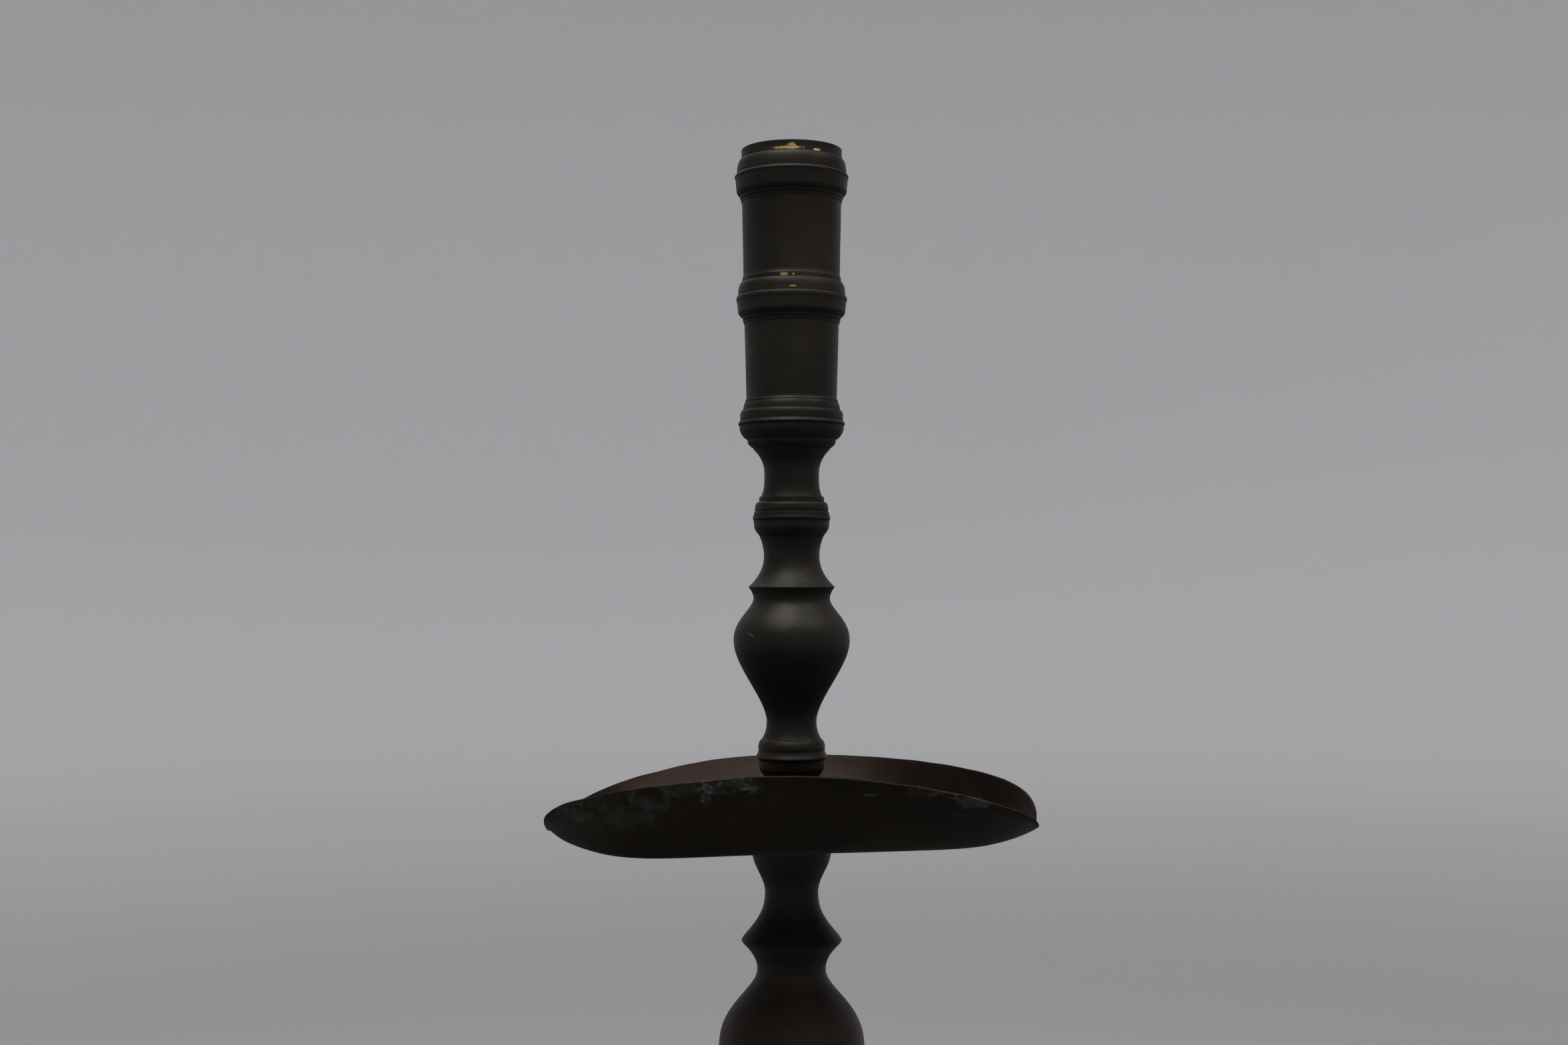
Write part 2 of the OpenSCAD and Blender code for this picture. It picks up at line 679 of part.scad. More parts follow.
function upper_point(a, k) = let (r = ring_radius(a, k))
    [r * cos(a), r * sin(a), pan_t + sheet_z(a, r)];
function lower_point(a, k) = let (
        r = ring_radius(a, k),
        slope = sheet_slope(a, r),
        out = r + pan_t * sin(slope))
    [out * cos(a), out * sin(a), pan_t + sheet_z(a, r) - pan_t * cos(slope)];

function sheet_points() = let (last = pan_angles - 1)
    concat([for (k = [0:pan_rings], j = [0:last]) upper_point(360 * j / pan_angles, k)],
           [for (k = [0:pan_rings], j = [0:last]) lower_point(360 * j / pan_angles, k)]);

function sheet_faces() = let (
        n = pan_angles,
        under = (pan_rings + 1) * n,
        rim = pan_rings * n)
    concat([[for (j = [n - 1:-1:0]) j]],
           [[for (j = [0:n - 1]) under + j]],
           [for (k = [0:pan_rings - 1], j = [0:n - 1]) let (m = (j + 1) % n)
               [k * n + j, k * n + m, (k + 1) * n + m]],
           [for (k = [0:pan_rings - 1], j = [0:n - 1]) let (m = (j + 1) % n)
               [k * n + j, (k + 1) * n + m, (k + 1) * n + j]],
           [for (k = [0:pan_rings - 1], j = [0:n - 1]) let (m = (j + 1) % n)
               [under + k * n + j, under + (k + 1) * n + m, under + k * n + m]],
           [for (k = [0:pan_rings - 1], j = [0:n - 1]) let (m = (j + 1) % n)
               [under + k * n + j, under + (k + 1) * n + j, under + (k + 1) * n + m]],
           [for (j = [0:n - 1]) let (m = (j + 1) % n) [rim + j, rim + m, under + rim + m]],
           [for (j = [0:n - 1]) let (m = (j + 1) % n) [rim + j, under + rim + m, under + rim + j]]);

module drip_pan() {
    color(pan_brown)
    translate([0, 0, support_z])
    difference() {
        polyhedron(points = sheet_points(), faces = sheet_faces(), convexity = 6);
        hole(screw_r + pan_gap, -1, pan_t + 1);
    }
}

function support_outline() = let (
        flange_r = support_flange_d / 2,
        cup_r = support_cup_d / 2,
        neck = [support_neck_d / 2, support_neck_at],
        cup_at = support_flange_h + 3.9)
    concat([[flange_r - 0.4, 0], [flange_r, 0.4], [flange_r, support_flange_h - 0.4]],
           [[flange_r - 0.4, support_flange_h], [cup_r + 0.2, support_flange_h + 0.3]],
           [[cup_r, cup_at]],
           arrive([cup_r, cup_at], neck, 1.93, 2.85, long_steps),
           leave(neck, [low_ridge_d / 2 - 0.1, low_ridge_at - 0.2], 2.39, 1.31, long_steps),
           [[low_ridge_d / 2, low_ridge_at], [low_ridge_d / 2 - 0.2, low_ridge_at + 0.4]],
           arrive([low_ridge_d / 2 - 0.4, low_ridge_at + 0.6], [low_waist_d / 2, support_h], 2.08, 1.13));

module pan_support() {
    color(dark_bronze)
    difference() {
        turned(support_outline(), support_z);
        hole(bush_flange_r + spigot_gap, bush_top_z - bush_flange_t, support_z + eps);
        hole(bush_d / 2 + spigot_gap, bush_end_z - 1, bush_top_z);
        hole(rod_hole_r, main_knop_z - eps, bush_end_z);
        spigot_recess(main_boss_r, main_knop_z);
    }
}

module screw_bush() {
    color(iron)
    difference() {
        union() {
            hole(bush_d / 2, bush_end_z, bush_top_z - eps);
            hole(bush_flange_r, bush_top_z - bush_flange_t, bush_top_z);
        }
        hole(screw_r + screw_gap, bush_floor_z, bush_top_z + eps);
        hole(rod_r + screw_gap, bush_end_z - eps, bush_floor_z + eps);
    }
}

function main_knop_outline() = let (
        belly = [main_knop_d / 2, main_knop_at],
        neck = [main_neck_d / 2, main_neck_at])
    concat([[low_waist_d / 2, 0]],
           arrive([low_waist_d / 2, 0], belly, 2.9, 2.24, long_steps),
           leave(belly, neck, 1.75, 1.8, long_steps),
           leave(neck, [main_foot_d / 2, main_knop_h], 2.2));

module main_knop() {
    color(bronze)
    difference() {
        union() {
            turned(main_knop_outline(), main_knop_z);
            spigot(main_boss_r, main_knop_z);
        }
        core(main_knop_outline(), main_knop_z, main_knop_at - main_core_above, main_neck_at - main_core_short);
        hole(rod_hole_r, foot_collar_z - eps, main_knop_z + spigot_h);
        spigot_recess(foot_collar_boss_r, foot_collar_z);
    }
}

function foot_collar_outline() = let (
        low_r = foot_band_d / 2 - 0.2,
        hollow_r = foot_hollow_d / 2,
        flange_r = foot_flange_d / 2,
        lip_at = 10.1,
        round_at = lip_at + 3.3,
        hollow_at = round_at + 4.6,
        flange_at = foot_collar_h - 2)
    concat(collar_bands(main_foot_d / 2 + 0.1, foot_band_d / 2, foot_lip_d / 2, low_r, lip_at),
           [[low_r, round_at]],
           round_in([low_r, round_at], [hollow_r + 0.4, hollow_at - 0.6]),
           [[hollow_r, hollow_at]],
           leave([hollow_r, hollow_at], [flange_r - 1.2, flange_at], 2.2),
           [[flange_r, flange_at + 0.1], [flange_r, foot_collar_h]]);

module foot_collar() {
    color(bronze)
    difference() {
        union() {
            turned(foot_collar_outline(), foot_collar_z);
            spigot(foot_collar_boss_r, foot_collar_z);
        }
        hole(rod_hole_r, foot_top_z - eps, foot_collar_z + spigot_h);
        spigot_recess(foot_boss_r, foot_top_z);
    }
}

function foot_outline() = let (
        top_r = foot_top_d / 2,
        sweep_r = sweep_d / 2,
        dome_r = dome_d / 2,
        foot_r = foot_d / 2,
        edge_at = foot_h - foot_edge_h)
    concat([[top_r - 0.6, 0], [top_r, 0.6], [top_r, 3]],
           leave([top_r - 1, 4], [sweep_r, sweep_at], 2, 1, long_steps),
           [[sweep_r + 2, sweep_at + 0.3], [sweep_r + 2, sweep_at + 3]],
           round_out([sweep_r + 3.5, sweep_at + 3.4], [dome_r, dome_at], long_steps),
           [[dome_r + 2, dome_at + 0.4], [dome_r + 2, dome_at + 3.4]],
           leave([dome_r + 3, dome_at + 3.6], [foot_r - 4, edge_at - 2], 2),
           [[foot_r - 1.5, edge_at - 1.5], [foot_r, edge_at], [foot_r, foot_h - 1], [foot_r - 1, foot_h]]);

// The hollow under the foot follows the outline, moved in and down by the wall
function foot_hollow() = let (
        low_end = foot_h - foot_edge_h - 1,
        inside = [for (p = foot_outline()) if (p[1] > foot_crown - foot_wall && p[1] < low_end)
                  [p[0] - foot_wall, p[1] + foot_wall]],
        last_r = inside[len(inside) - 1][0])
    concat([[inside[0][0], foot_crown]], inside, [[last_r, foot_h + 1]]);

module foot_dome() {
    color(bronze)
    difference() {
        union() {
            turned(foot_outline(), foot_top_z);
            spigot(foot_boss_r, foot_top_z);
        }
        turned(foot_hollow(), foot_top_z);
        hole(rod_hole_r, crown_z - eps, foot_top_z + spigot_h);
    }
}

module lower_rod() {
    color(iron)
    hole(rod_r, lower_rod_end_z, lower_rod_top_z);
}

module foot_washer() {
    color(iron)
    washer(foot_washer_d, foot_nut_z);
}

module foot_nut() {
    color(iron)
    square_nut(foot_nut_z - nut_t, rod_r + screw_gap);
}

socket_top();
socket_base();
cup_neck();
ring_knop();
upper_baluster();
pan_collar();
upper_rod();
rod_washer();
rod_nut();
pan_ring();
drip_pan();
pan_support();
screw_bush();
main_knop();
foot_collar();
foot_dome();
lower_rod();
foot_washer();
foot_nut();
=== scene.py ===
import math
import bmesh
import bpy
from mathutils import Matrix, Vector, kdtree, noise


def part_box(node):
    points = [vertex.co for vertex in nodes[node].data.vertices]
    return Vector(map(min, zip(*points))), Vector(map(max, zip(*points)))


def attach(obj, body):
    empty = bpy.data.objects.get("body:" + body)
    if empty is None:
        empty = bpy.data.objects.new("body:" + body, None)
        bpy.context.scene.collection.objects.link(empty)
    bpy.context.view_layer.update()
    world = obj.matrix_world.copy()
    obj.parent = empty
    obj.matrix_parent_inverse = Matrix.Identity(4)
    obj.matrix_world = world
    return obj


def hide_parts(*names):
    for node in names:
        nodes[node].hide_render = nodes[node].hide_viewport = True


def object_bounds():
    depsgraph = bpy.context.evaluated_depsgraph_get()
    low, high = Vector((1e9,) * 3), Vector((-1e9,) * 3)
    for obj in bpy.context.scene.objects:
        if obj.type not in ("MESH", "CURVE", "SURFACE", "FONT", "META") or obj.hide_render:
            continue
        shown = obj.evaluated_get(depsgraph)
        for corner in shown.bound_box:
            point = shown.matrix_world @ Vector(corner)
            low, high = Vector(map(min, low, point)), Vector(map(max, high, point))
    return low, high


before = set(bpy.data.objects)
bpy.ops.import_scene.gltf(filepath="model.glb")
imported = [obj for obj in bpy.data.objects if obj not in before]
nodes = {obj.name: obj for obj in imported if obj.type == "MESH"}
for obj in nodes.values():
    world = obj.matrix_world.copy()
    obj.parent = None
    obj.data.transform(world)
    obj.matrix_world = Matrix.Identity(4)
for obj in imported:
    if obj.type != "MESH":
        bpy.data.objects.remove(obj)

cadLow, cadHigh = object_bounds()
print("frame loaded,", len(nodes), "nodes")

# camera: level, in front of the candlestick, the stem's axis a little right of the middle
cameraSettings = {
    "lens": 42.1,
    "sensor": 36.0,
    "place": (-0.0038, -0.9167, 0.4427),
    "shiftUp": 0.035,
}

cameraData = bpy.data.cameras.new("frontCamera")
cameraData.lens = cameraSettings["lens"]
cameraData.sensor_width = cameraSettings["sensor"]
cameraData.shift_y = cameraSettings["shiftUp"]
cameraData.clip_start = 0.02
cameraData.clip_end = 50
camera = bpy.data.objects.new("frontCamera", cameraData)
camera.location = cameraSettings["place"]
camera.rotation_euler = (math.radians(90), 0, 0)
bpy.context.scene.collection.objects.link(camera)
bpy.context.scene.camera = camera
print("camera placed")


def activate(piece):
    # one piece selected and active, all others let go
    if bpy.context.object and bpy.context.object.mode != "OBJECT":
        bpy.ops.object.mode_set(mode="OBJECT")
    bpy.ops.object.select_all(action="DESELECT")
    piece.select_set(True)
    bpy.context.view_layer.objects.active = piece


def applyModifiers(piece):
    activate(piece)
    for modifier in list(piece.modifiers):
        bpy.ops.object.modifier_apply(modifier=modifier.name)


def mergedCopy(nodeName, pieceName):
    # the CAD mesh comes as loose triangles, so the copy is merged before any work on it
    piece = bpy.data.objects.new(pieceName, nodes[nodeName].data.copy())
    bpy.context.scene.collection.objects.link(piece)
    activate(piece)
    bpy.ops.object.mode_set(mode="EDIT")
    bpy.ops.mesh.select_all(action="SELECT")
    bpy.ops.mesh.remove_doubles(threshold=0.000002)
    bpy.ops.object.mode_set(mode="OBJECT")
    if piece.data.has_custom_normals:
        bpy.ops.mesh.customdata_custom_splitnormals_clear()
    return piece


# shader node groups, each used by several materials

def newGroup(name, inputs, outputs):
    group = bpy.data.node_groups.new(name, "ShaderNodeTree")
    for socketName, socketType, value in inputs:
        socket = group.interface.new_socket(name=socketName, in_out="INPUT", socket_type=socketType)
        if value is not None:
            socket.default_value = value
    for socketName, socketType in outputs:
        group.interface.new_socket(name=socketName, in_out="OUTPUT", socket_type=socketType)
    start = group.nodes.new("NodeGroupInput")
    end = group.nodes.new("NodeGroupOutput")
    return group, start, end


def addNode(tree, kind, values=None, links=None):
    node = tree.nodes.new(kind)
    for key, value in (values or {}).items():
        if isinstance(key, int) or key in node.inputs:
            node.inputs[key].default_value = value
        else:
            setattr(node, key, value)
    for key, socket in (links or {}).items():
        tree.links.new(socket, node.inputs[key])
    return node


def maths(tree, operation, first, second=None, clamp=False):
    node = tree.nodes.new("ShaderNodeMath")
    node.operation = operation
    node.use_clamp = clamp
    for index, value in enumerate((first, second)):
        if value is None:
            continue
        if isinstance(value, (int, float)):
            node.inputs[index].default_value = value
        else:
            tree.links.new(value, node.inputs[index])
    return node.outputs[0]


def ramp(tree, value, low, high, start=0.0, end=1.0, smooth=True):
    node = tree.nodes.new("ShaderNodeMapRange")
    node.interpolation_type = "SMOOTHSTEP" if smooth else "LINEAR"
    for name, number in (("From Min", low), ("From Max", high), ("To Min", start), ("To Max", end)):
        if isinstance(number, (int, float)):
            node.inputs[name].default_value = number
        else:
            tree.links.new(number, node.inputs[name])
    tree.links.new(value, node.inputs["Value"])
    return node.outputs["Result"]


def mixColor(tree, factor, first, second, blend="MIX"):
    node = tree.nodes.new("ShaderNodeMix")
    node.data_type = "RGBA"
    node.blend_type = blend
    for index, value in ((0, factor), (6, first), (7, second)):
        if isinstance(value, (int, float)):
            node.inputs[index].default_value = value
        elif isinstance(value, tuple):
            node.inputs[index].default_value = value
        else:
            tree.links.new(value, node.inputs[index])
    return node.outputs[2]


def wash(tree, mask, share, color, tint):
    # a tint laid over the colour, as strong as share where the mask is 1
    return mixColor(tree, maths(tree, "MULTIPLY", mask, share), color, tint)


def addShare(tree, value, mask, share, clamp=False):
    return maths(tree, "ADD", value, maths(tree, "MULTIPLY", mask, share), clamp)


def strongest(tree, masks):
    total = masks[0]
    for mask in masks[1:]:
        total = maths(tree, "MAXIMUM", total, mask)
    return total


def noiseMask(tree, vector, scale, detail, rough, stretch=(1, 1, 1)):
    # a noise on object coordinates, stretched along an axis where the mark runs that way
    mapping = addNode(tree, "ShaderNodeMapping", {"Scale": stretch}, {"Vector": vector})
    texture = addNode(tree, "ShaderNodeTexNoise", {"Scale": scale, "Detail": detail, "Roughness": rough},
                      {"Vector": mapping.outputs[0]})
    return texture.outputs[0]


def markNode(tree, name):
    return addNode(tree, "ShaderNodeAttribute", {"attribute_name": name, "attribute_type": "GEOMETRY"})


def buildPatinaTone():
    # cloudy tone, streaks down the stem and fine specks of an old brown patina
    group, start, end = newGroup("patinaTone", [
        ("Vector", "NodeSocketVector", None),
        ("Cloud Scale", "NodeSocketFloat", 24.0),
        ("Streak Scale", "NodeSocketFloat", 60.0),
        ("Speck Scale", "NodeSocketFloat", 1400.0)],
        [("Cloud", "NodeSocketFloat"), ("Streak", "NodeSocketFloat"), ("Speck", "NodeSocketFloat")])
    vector = start.outputs["Vector"]
    cloud = addNode(group, "ShaderNodeTexNoise", {"Detail": 6.0, "Roughness": 0.62},
                    {"Vector": vector, "Scale": start.outputs["Cloud Scale"]})
    mapping = addNode(group, "ShaderNodeMapping", {"Scale": (1, 1, 0.09)}, {"Vector": vector})
    streak = addNode(group, "ShaderNodeTexNoise", {"Detail": 4.0, "Roughness": 0.55},
                     {"Vector": mapping.outputs[0], "Scale": start.outputs["Streak Scale"]})
    speck = addNode(group, "ShaderNodeTexNoise", {"Detail": 3.0, "Roughness": 0.7},
                    {"Vector": vector, "Scale": start.outputs["Speck Scale"]})
    group.links.new(ramp(group, cloud.outputs[0], 0.3, 0.7), end.inputs["Cloud"])
    group.links.new(ramp(group, streak.outputs[0], 0.34, 0.68), end.inputs["Streak"])
    group.links.new(ramp(group, speck.outputs[0], 0.56, 0.72), end.inputs["Speck"])
    return group


def buildArrisWear():
    # rubbed edges and dirt in the corners, from the marks that each turned piece carries
    group, start, end = newGroup("arrisWear", [
        ("Vector", "NodeSocketVector", None),
        ("Amount", "NodeSocketFloat", 0.5)],
        [("Rubbed", "NodeSocketFloat"), ("Dirt", "NodeSocketFloat")])
    vector = start.outputs["Vector"]
    arris = markNode(group, "arris")
    crevice = markNode(group, "crevice")
    patchy = noiseMask(group, vector, 70.0, 5.0, 0.65)
    fine = noiseMask(group, vector, 900.0, 3.0, 0.6)
    broken = maths(group, "ADD", patchy, maths(group, "MULTIPLY", maths(group, "SUBTRACT", fine, 0.5), 0.35))
    low = maths(group, "SUBTRACT", 0.78, maths(group, "MULTIPLY", start.outputs["Amount"], 0.4))
    rubbed = ramp(group, broken, low, maths(group, "ADD", low, 0.16))
    group.links.new(maths(group, "MULTIPLY", rubbed, arris.outputs["Fac"], True), end.inputs["Rubbed"])
    grimeAndShade = ramp(group, patchy, 0.25, 0.6, 0.45, 1.0)
    group.links.new(maths(group, "MULTIPLY", grimeAndShade, crevice.outputs["Fac"], True), end.inputs["Dirt"])
    return group


def buildDustAndUnderShade():
    # dull film of dust that settles on what faces up, and painted shade that darkens what faces down
    group, start, end = newGroup("dustAndUnderShade", [
        ("Vector", "NodeSocketVector", None),
        ("Amount", "NodeSocketFloat", 0.6)],
        [("Dust", "NodeSocketFloat"), ("Painted Underside Shade", "NodeSocketFloat")])
    geometry = addNode(group, "ShaderNodeNewGeometry")
    split = addNode(group, "ShaderNodeSeparateXYZ", None, {"Vector": geometry.outputs["Normal"]})
    upward = ramp(group, split.outputs["Z"], 0.15, 0.95)
    patchy = noiseMask(group, start.outputs["Vector"], 55.0, 6.0, 0.7)
    mask = maths(group, "MULTIPLY", upward, ramp(group, patchy, 0.2, 0.65, 0.35, 1.0))
    group.links.new(maths(group, "MULTIPLY", mask, start.outputs["Amount"], True), end.inputs["Dust"])
    # painted shade: the more a face points down, the stronger this darkening mask
    group.links.new(ramp(group, split.outputs["Z"], 0.0, -0.55), end.inputs["Painted Underside Shade"])
    return group


def buildPatch():
    # one worn or stained place with a ragged edge, at a point of the object
    group, start, end = newGroup("raggedPatch", [
        ("Vector", "NodeSocketVector", None),
        ("Middle", "NodeSocketVector", (0, 0, 0)),
        ("Reach", "NodeSocketVector", (0.01, 0.01, 0.01)),
        ("Ragged", "NodeSocketFloat", 0.6),
        ("Grain", "NodeSocketFloat", 400.0)],
        [("Mask", "NodeSocketFloat")])
    shifted = addNode(group, "ShaderNodeVectorMath", {"operation": "SUBTRACT"},
                      {0: start.outputs["Vector"], 1: start.outputs["Middle"]})
    scaled = addNode(group, "ShaderNodeVectorMath", {"operation": "DIVIDE"},
                     {0: shifted.outputs[0], 1: start.outputs["Reach"]})
    length = addNode(group, "ShaderNodeVectorMath", {"operation": "LENGTH"}, {0: scaled.outputs[0]})
    texture = addNode(group, "ShaderNodeTexNoise", {"Detail": 5.0, "Roughness": 0.7},
                      {"Vector": start.outputs["Vector"], "Scale": start.outputs["Grain"]})
    centred = maths(group, "SUBTRACT", texture.outputs[0], 0.5)
    push = maths(group, "MULTIPLY", centred, start.outputs["Ragged"])
    distance = maths(group, "ADD", length.outputs["Value"], maths(group, "MULTIPLY", push, 2.0))
    group.links.new(ramp(group, distance, 1.0, 0.72), end.inputs["Mask"])
    return group


def buildScratch():
    # a straight scratch on the front, from one point to another, given as x and z
    group, start, end = newGroup("scratchMark", [
        ("Vector", "NodeSocketVector", None),
        ("From", "NodeSocketVector", (0, 0, 0)),
        ("To", "NodeSocketVector", (0.01, 0, 0)),
        ("Width", "NodeSocketFloat", 0.0002)],
        [("Mask", "NodeSocketFloat")])
    flat = addNode(group, "ShaderNodeVectorMath", {"operation": "MULTIPLY", 1: (1, 0, 1)},
                   {0: start.outputs["Vector"]})
    along = addNode(group, "ShaderNodeVectorMath", {"operation": "SUBTRACT"},
                    {0: start.outputs["To"], 1: start.outputs["From"]})
    offset = addNode(group, "ShaderNodeVectorMath", {"operation": "SUBTRACT"},
                     {0: flat.outputs[0], 1: start.outputs["From"]})
    dot = addNode(group, "ShaderNodeVectorMath", {"operation": "DOT_PRODUCT"},
                  {0: offset.outputs[0], 1: along.outputs[0]})
    size = addNode(group, "ShaderNodeVectorMath", {"operation": "DOT_PRODUCT"},
                   {0: along.outputs[0], 1: along.outputs[0]})
    share = maths(group, "DIVIDE", dot.outputs["Value"], size.outputs["Value"], True)
    nearest = addNode(group, "ShaderNodeVectorMath", {"operation": "SCALE"},
                      {0: along.outputs[0], "Scale": share})
    apart = addNode(group, "ShaderNodeVectorMath", {"operation": "SUBTRACT"},
                    {0: offset.outputs[0], 1: nearest.outputs[0]})
    length = addNode(group, "ShaderNodeVectorMath", {"operation": "LENGTH"}, {0: apart.outputs[0]})
    split = addNode(group, "ShaderNodeSeparateXYZ", None, {"Vector": start.outputs["Vector"]})
    front = maths(group, "LESS_THAN", split.outputs["Y"], 0.0)
    line = ramp(group, length.outputs["Value"], start.outputs["Width"], 0.0)
    group.links.new(maths(group, "MULTIPLY", line, front), end.inputs["Mask"])
    return group


def buildSurfaceHeight():
    # fine lathe lines, faint dents and small pits
    group, start, end = newGroup("turnedHeight", [
        ("Vector", "NodeSocketVector", None),
        ("Lathe", "NodeSocketFloat", 0.4),
        ("Dents", "NodeSocketFloat", 0.6),
        ("Pits", "NodeSocketFloat", 0.4)],
        [("Height", "NodeSocketFloat")])
    vector = start.outputs["Vector"]
    lathe = noiseMask(group, vector, 1.0, 3.0, 0.6, (3, 3, 2600))
    dents = noiseMask(group, vector, 42.0, 3.0, 0.5)
    pits = noiseMask(group, vector, 1300.0, 4.0, 0.75)
    pitMask = ramp(group, pits, 0.62, 0.78)
    total = maths(group, "MULTIPLY", lathe, start.outputs["Lathe"])
    total = maths(group, "ADD", total, maths(group, "MULTIPLY", dents, start.outputs["Dents"]))
    total = maths(group, "SUBTRACT", total, maths(group, "MULTIPLY", pitMask, start.outputs["Pits"]))
    group.links.new(total, end.inputs["Height"])
    return group


patinaTone = buildPatinaTone()
arrisWear = buildArrisWear()
dustAndUnderShade = buildDustAndUnderShade()
raggedPatch = buildPatch()
scratchMark = buildScratch()
turnedHeight = buildSurfaceHeight()
print("node groups built")


def placeGroup(tree, group, vector, values=None):
    node = tree.nodes.new("ShaderNodeGroup")
    node.node_tree = group
    tree.links.new(vector, node.inputs["Vector"])
    for key, value in (values or {}).items():
        node.inputs[key].default_value = value
    return node


def newMaterial(name):
    material = bpy.data.materials.new(name)
    material.use_nodes = True
    tree = material.node_tree
    tree.nodes.clear()
    output = tree.nodes.new("ShaderNodeOutputMaterial")
    shader = tree.nodes.new("ShaderNodeBsdfPrincipled")
    tree.links.new(shader.outputs[0], output.inputs["Surface"])
    coordinates = tree.nodes.new("ShaderNodeTexCoord")
    return material, tree, shader, coordinates.outputs["Object"]


def patchMask(tree, vector, place, ragged, grain):
    return placeGroup(tree, raggedPatch, vector, {
        "Middle": place["middle"], "Reach": place["reach"], "Ragged": ragged, "Grain": grain}).outputs[0]


# worn and marked places, read off the object: middle, reach and how ragged
brightPlaces = [
    {"middle": (-0.0023, -0.0250, 0.6521), "reach": (0.0078, 0.0040, 0.0008), "ragged": 1.1, "grain": 420.0},
    {"middle": (-0.0002, -0.0250, 0.6532), "reach": (0.0024, 0.0040, 0.0013), "ragged": 0.9, "grain": 600.0},
    {"middle": (0.0123, -0.0220, 0.6516), "reach": (0.0023, 0.0030, 0.0006), "ragged": 0.6, "grain": 600.0},
    {"middle": (-0.0040, -0.0246, 0.5906), "reach": (0.0022, 0.0020, 0.0008), "ragged": 0.6, "grain": 700.0},
    {"middle": (0.0008, -0.0246, 0.5905), "reach": (0.0008, 0.0020, 0.0004), "ragged": 0.5, "grain": 900.0},
    {"middle": (0.0004, -0.0268, 0.5844), "reach": (0.0019, 0.0020, 0.0004), "ragged": 0.5, "grain": 900.0},
]
scratches = [
    {"from": (-0.0215, 0, 0.4158), "to": (-0.0190, 0, 0.4143), "width": 0.00028},
    {"from": (-0.0210, 0, 0.4148), "to": (-0.0186, 0, 0.4134), "width": 0.00022},
    {"from": (0.0063, 0, 0.3740), "to": (0.0088, 0, 0.3730), "width": 0.00022},
    {"from": (-0.0211, 0, 0.5545), "to": (-0.0188, 0, 0.5540), "width": 0.00022},
    {"from": (-0.0135, 0, 0.4245), "to": (-0.0060, 0, 0.4235), "width": 0.00014},
    {"from": (0.0008, 0, 0.4199), "to": (0.0034, 0, 0.4196), "width": 0.00016},
]
darkPits = [
    {"middle": (0.0080, -0.0145, 0.4435), "reach": (0.0014, 0.0030, 0.0010), "ragged": 0.3, "grain": 900.0},
]


markColors = {
    "scratch": (0.13, 0.115, 0.095, 1),
    "bareBrass": (0.50, 0.34, 0.125, 1),
    "pit": (0.006, 0.005, 0.004, 1),
}


def bronzeMaterial(name, settings):
    material, tree, shader, vector = newMaterial(name)
    tone = placeGroup(tree, patinaTone, vector, {"Cloud Scale": settings["cloudScale"]})
    wear = placeGroup(tree, arrisWear, vector, {"Amount": settings["rubbed"]})
    dust = placeGroup(tree, dustAndUnderShade, vector, {"Amount": settings["dust"]})
    color = mixColor(tree, tone.outputs["Cloud"], settings["deep"], settings["light"])
    # painted shade: faces that point down are darkened towards the grime colour
    color = wash(tree, dust.outputs["Painted Underside Shade"], 0.9, color, settings["grimeAndShade"])
    color = wash(tree, tone.outputs["Streak"], settings["streak"], color, settings["warm"])
    tint = noiseMask(tree, vector, 9.0, 3.0, 0.5)
    color = mixColor(tree, ramp(tree, tint, 0.42, 0.62, 0.0, 0.6), color, settings["cool"])
    color = wash(tree, tone.outputs["Speck"], 0.5, color, settings["speck"])
    color = mixColor(tree, dust.outputs["Dust"], color, settings["dustColor"])
    color = wash(tree, wear.outputs["Dirt"], 0.85, color, settings["grimeAndShade"])
    rubbed = wear.outputs["Rubbed"]
    color = mixColor(tree, rubbed, color, settings["brass"])
    height = placeGroup(tree, turnedHeight, vector, {
        "Lathe": settings["lathe"], "Dents": settings["dents"], "Pits": settings["pitted"]}).outputs[0]
    if "scratches" in settings:
        marks = strongest(tree, [placeGroup(tree, scratchMark, vector, {
            "From": scratch["from"], "To": scratch["to"], "Width": scratch["width"]}).outputs[0]
            for scratch in settings["scratches"]])
        color = wash(tree, marks, 0.8, color, markColors["scratch"])
        height = maths(tree, "SUBTRACT", height, maths(tree, "MULTIPLY", marks, 0.8))
    if "places" in settings:
        bright = strongest(tree, [patchMask(tree, vector, place, place["ragged"], place["grain"])
                                  for place in settings["places"]])
        color = mixColor(tree, bright, color, markColors["bareBrass"])
        rubbed = maths(tree, "MAXIMUM", rubbed, bright)
    for pit in settings.get("pits", []):
        mask = patchMask(tree, vector, pit, pit["ragged"], pit["grain"])
        color = mixColor(tree, mask, color, markColors["pit"])
    tree.links.new(color, shader.inputs["Base Color"])
    rough = ramp(tree, tone.outputs["Cloud"], 0.0, 1.0, settings["rough"][0], settings["rough"][1], False)
    rough = addShare(tree, rough, dust.outputs["Dust"], 0.22)
    rough = addShare(tree, rough, wear.outputs["Dirt"], 0.2)
    rough = addShare(tree, rough, dust.outputs["Painted Underside Shade"], 0.25)
    rough = maths(tree, "SUBTRACT", rough, maths(tree, "MULTIPLY", rubbed, 0.18), True)
    tree.links.new(rough, shader.inputs["Roughness"])
    metal = ramp(tree, rubbed, 0.0, 1.0, settings["metal"], 0.95, False)
    tree.links.new(metal, shader.inputs["Metallic"])
    bump = addNode(tree, "ShaderNodeBump", {"Strength": 0.55, "Distance": 0.00022}, {"Height": height})
    tree.links.new(bump.outputs[0], shader.inputs["Normal"])
    shader.inputs["Specular IOR Level"].default_value = 0.20
    return material


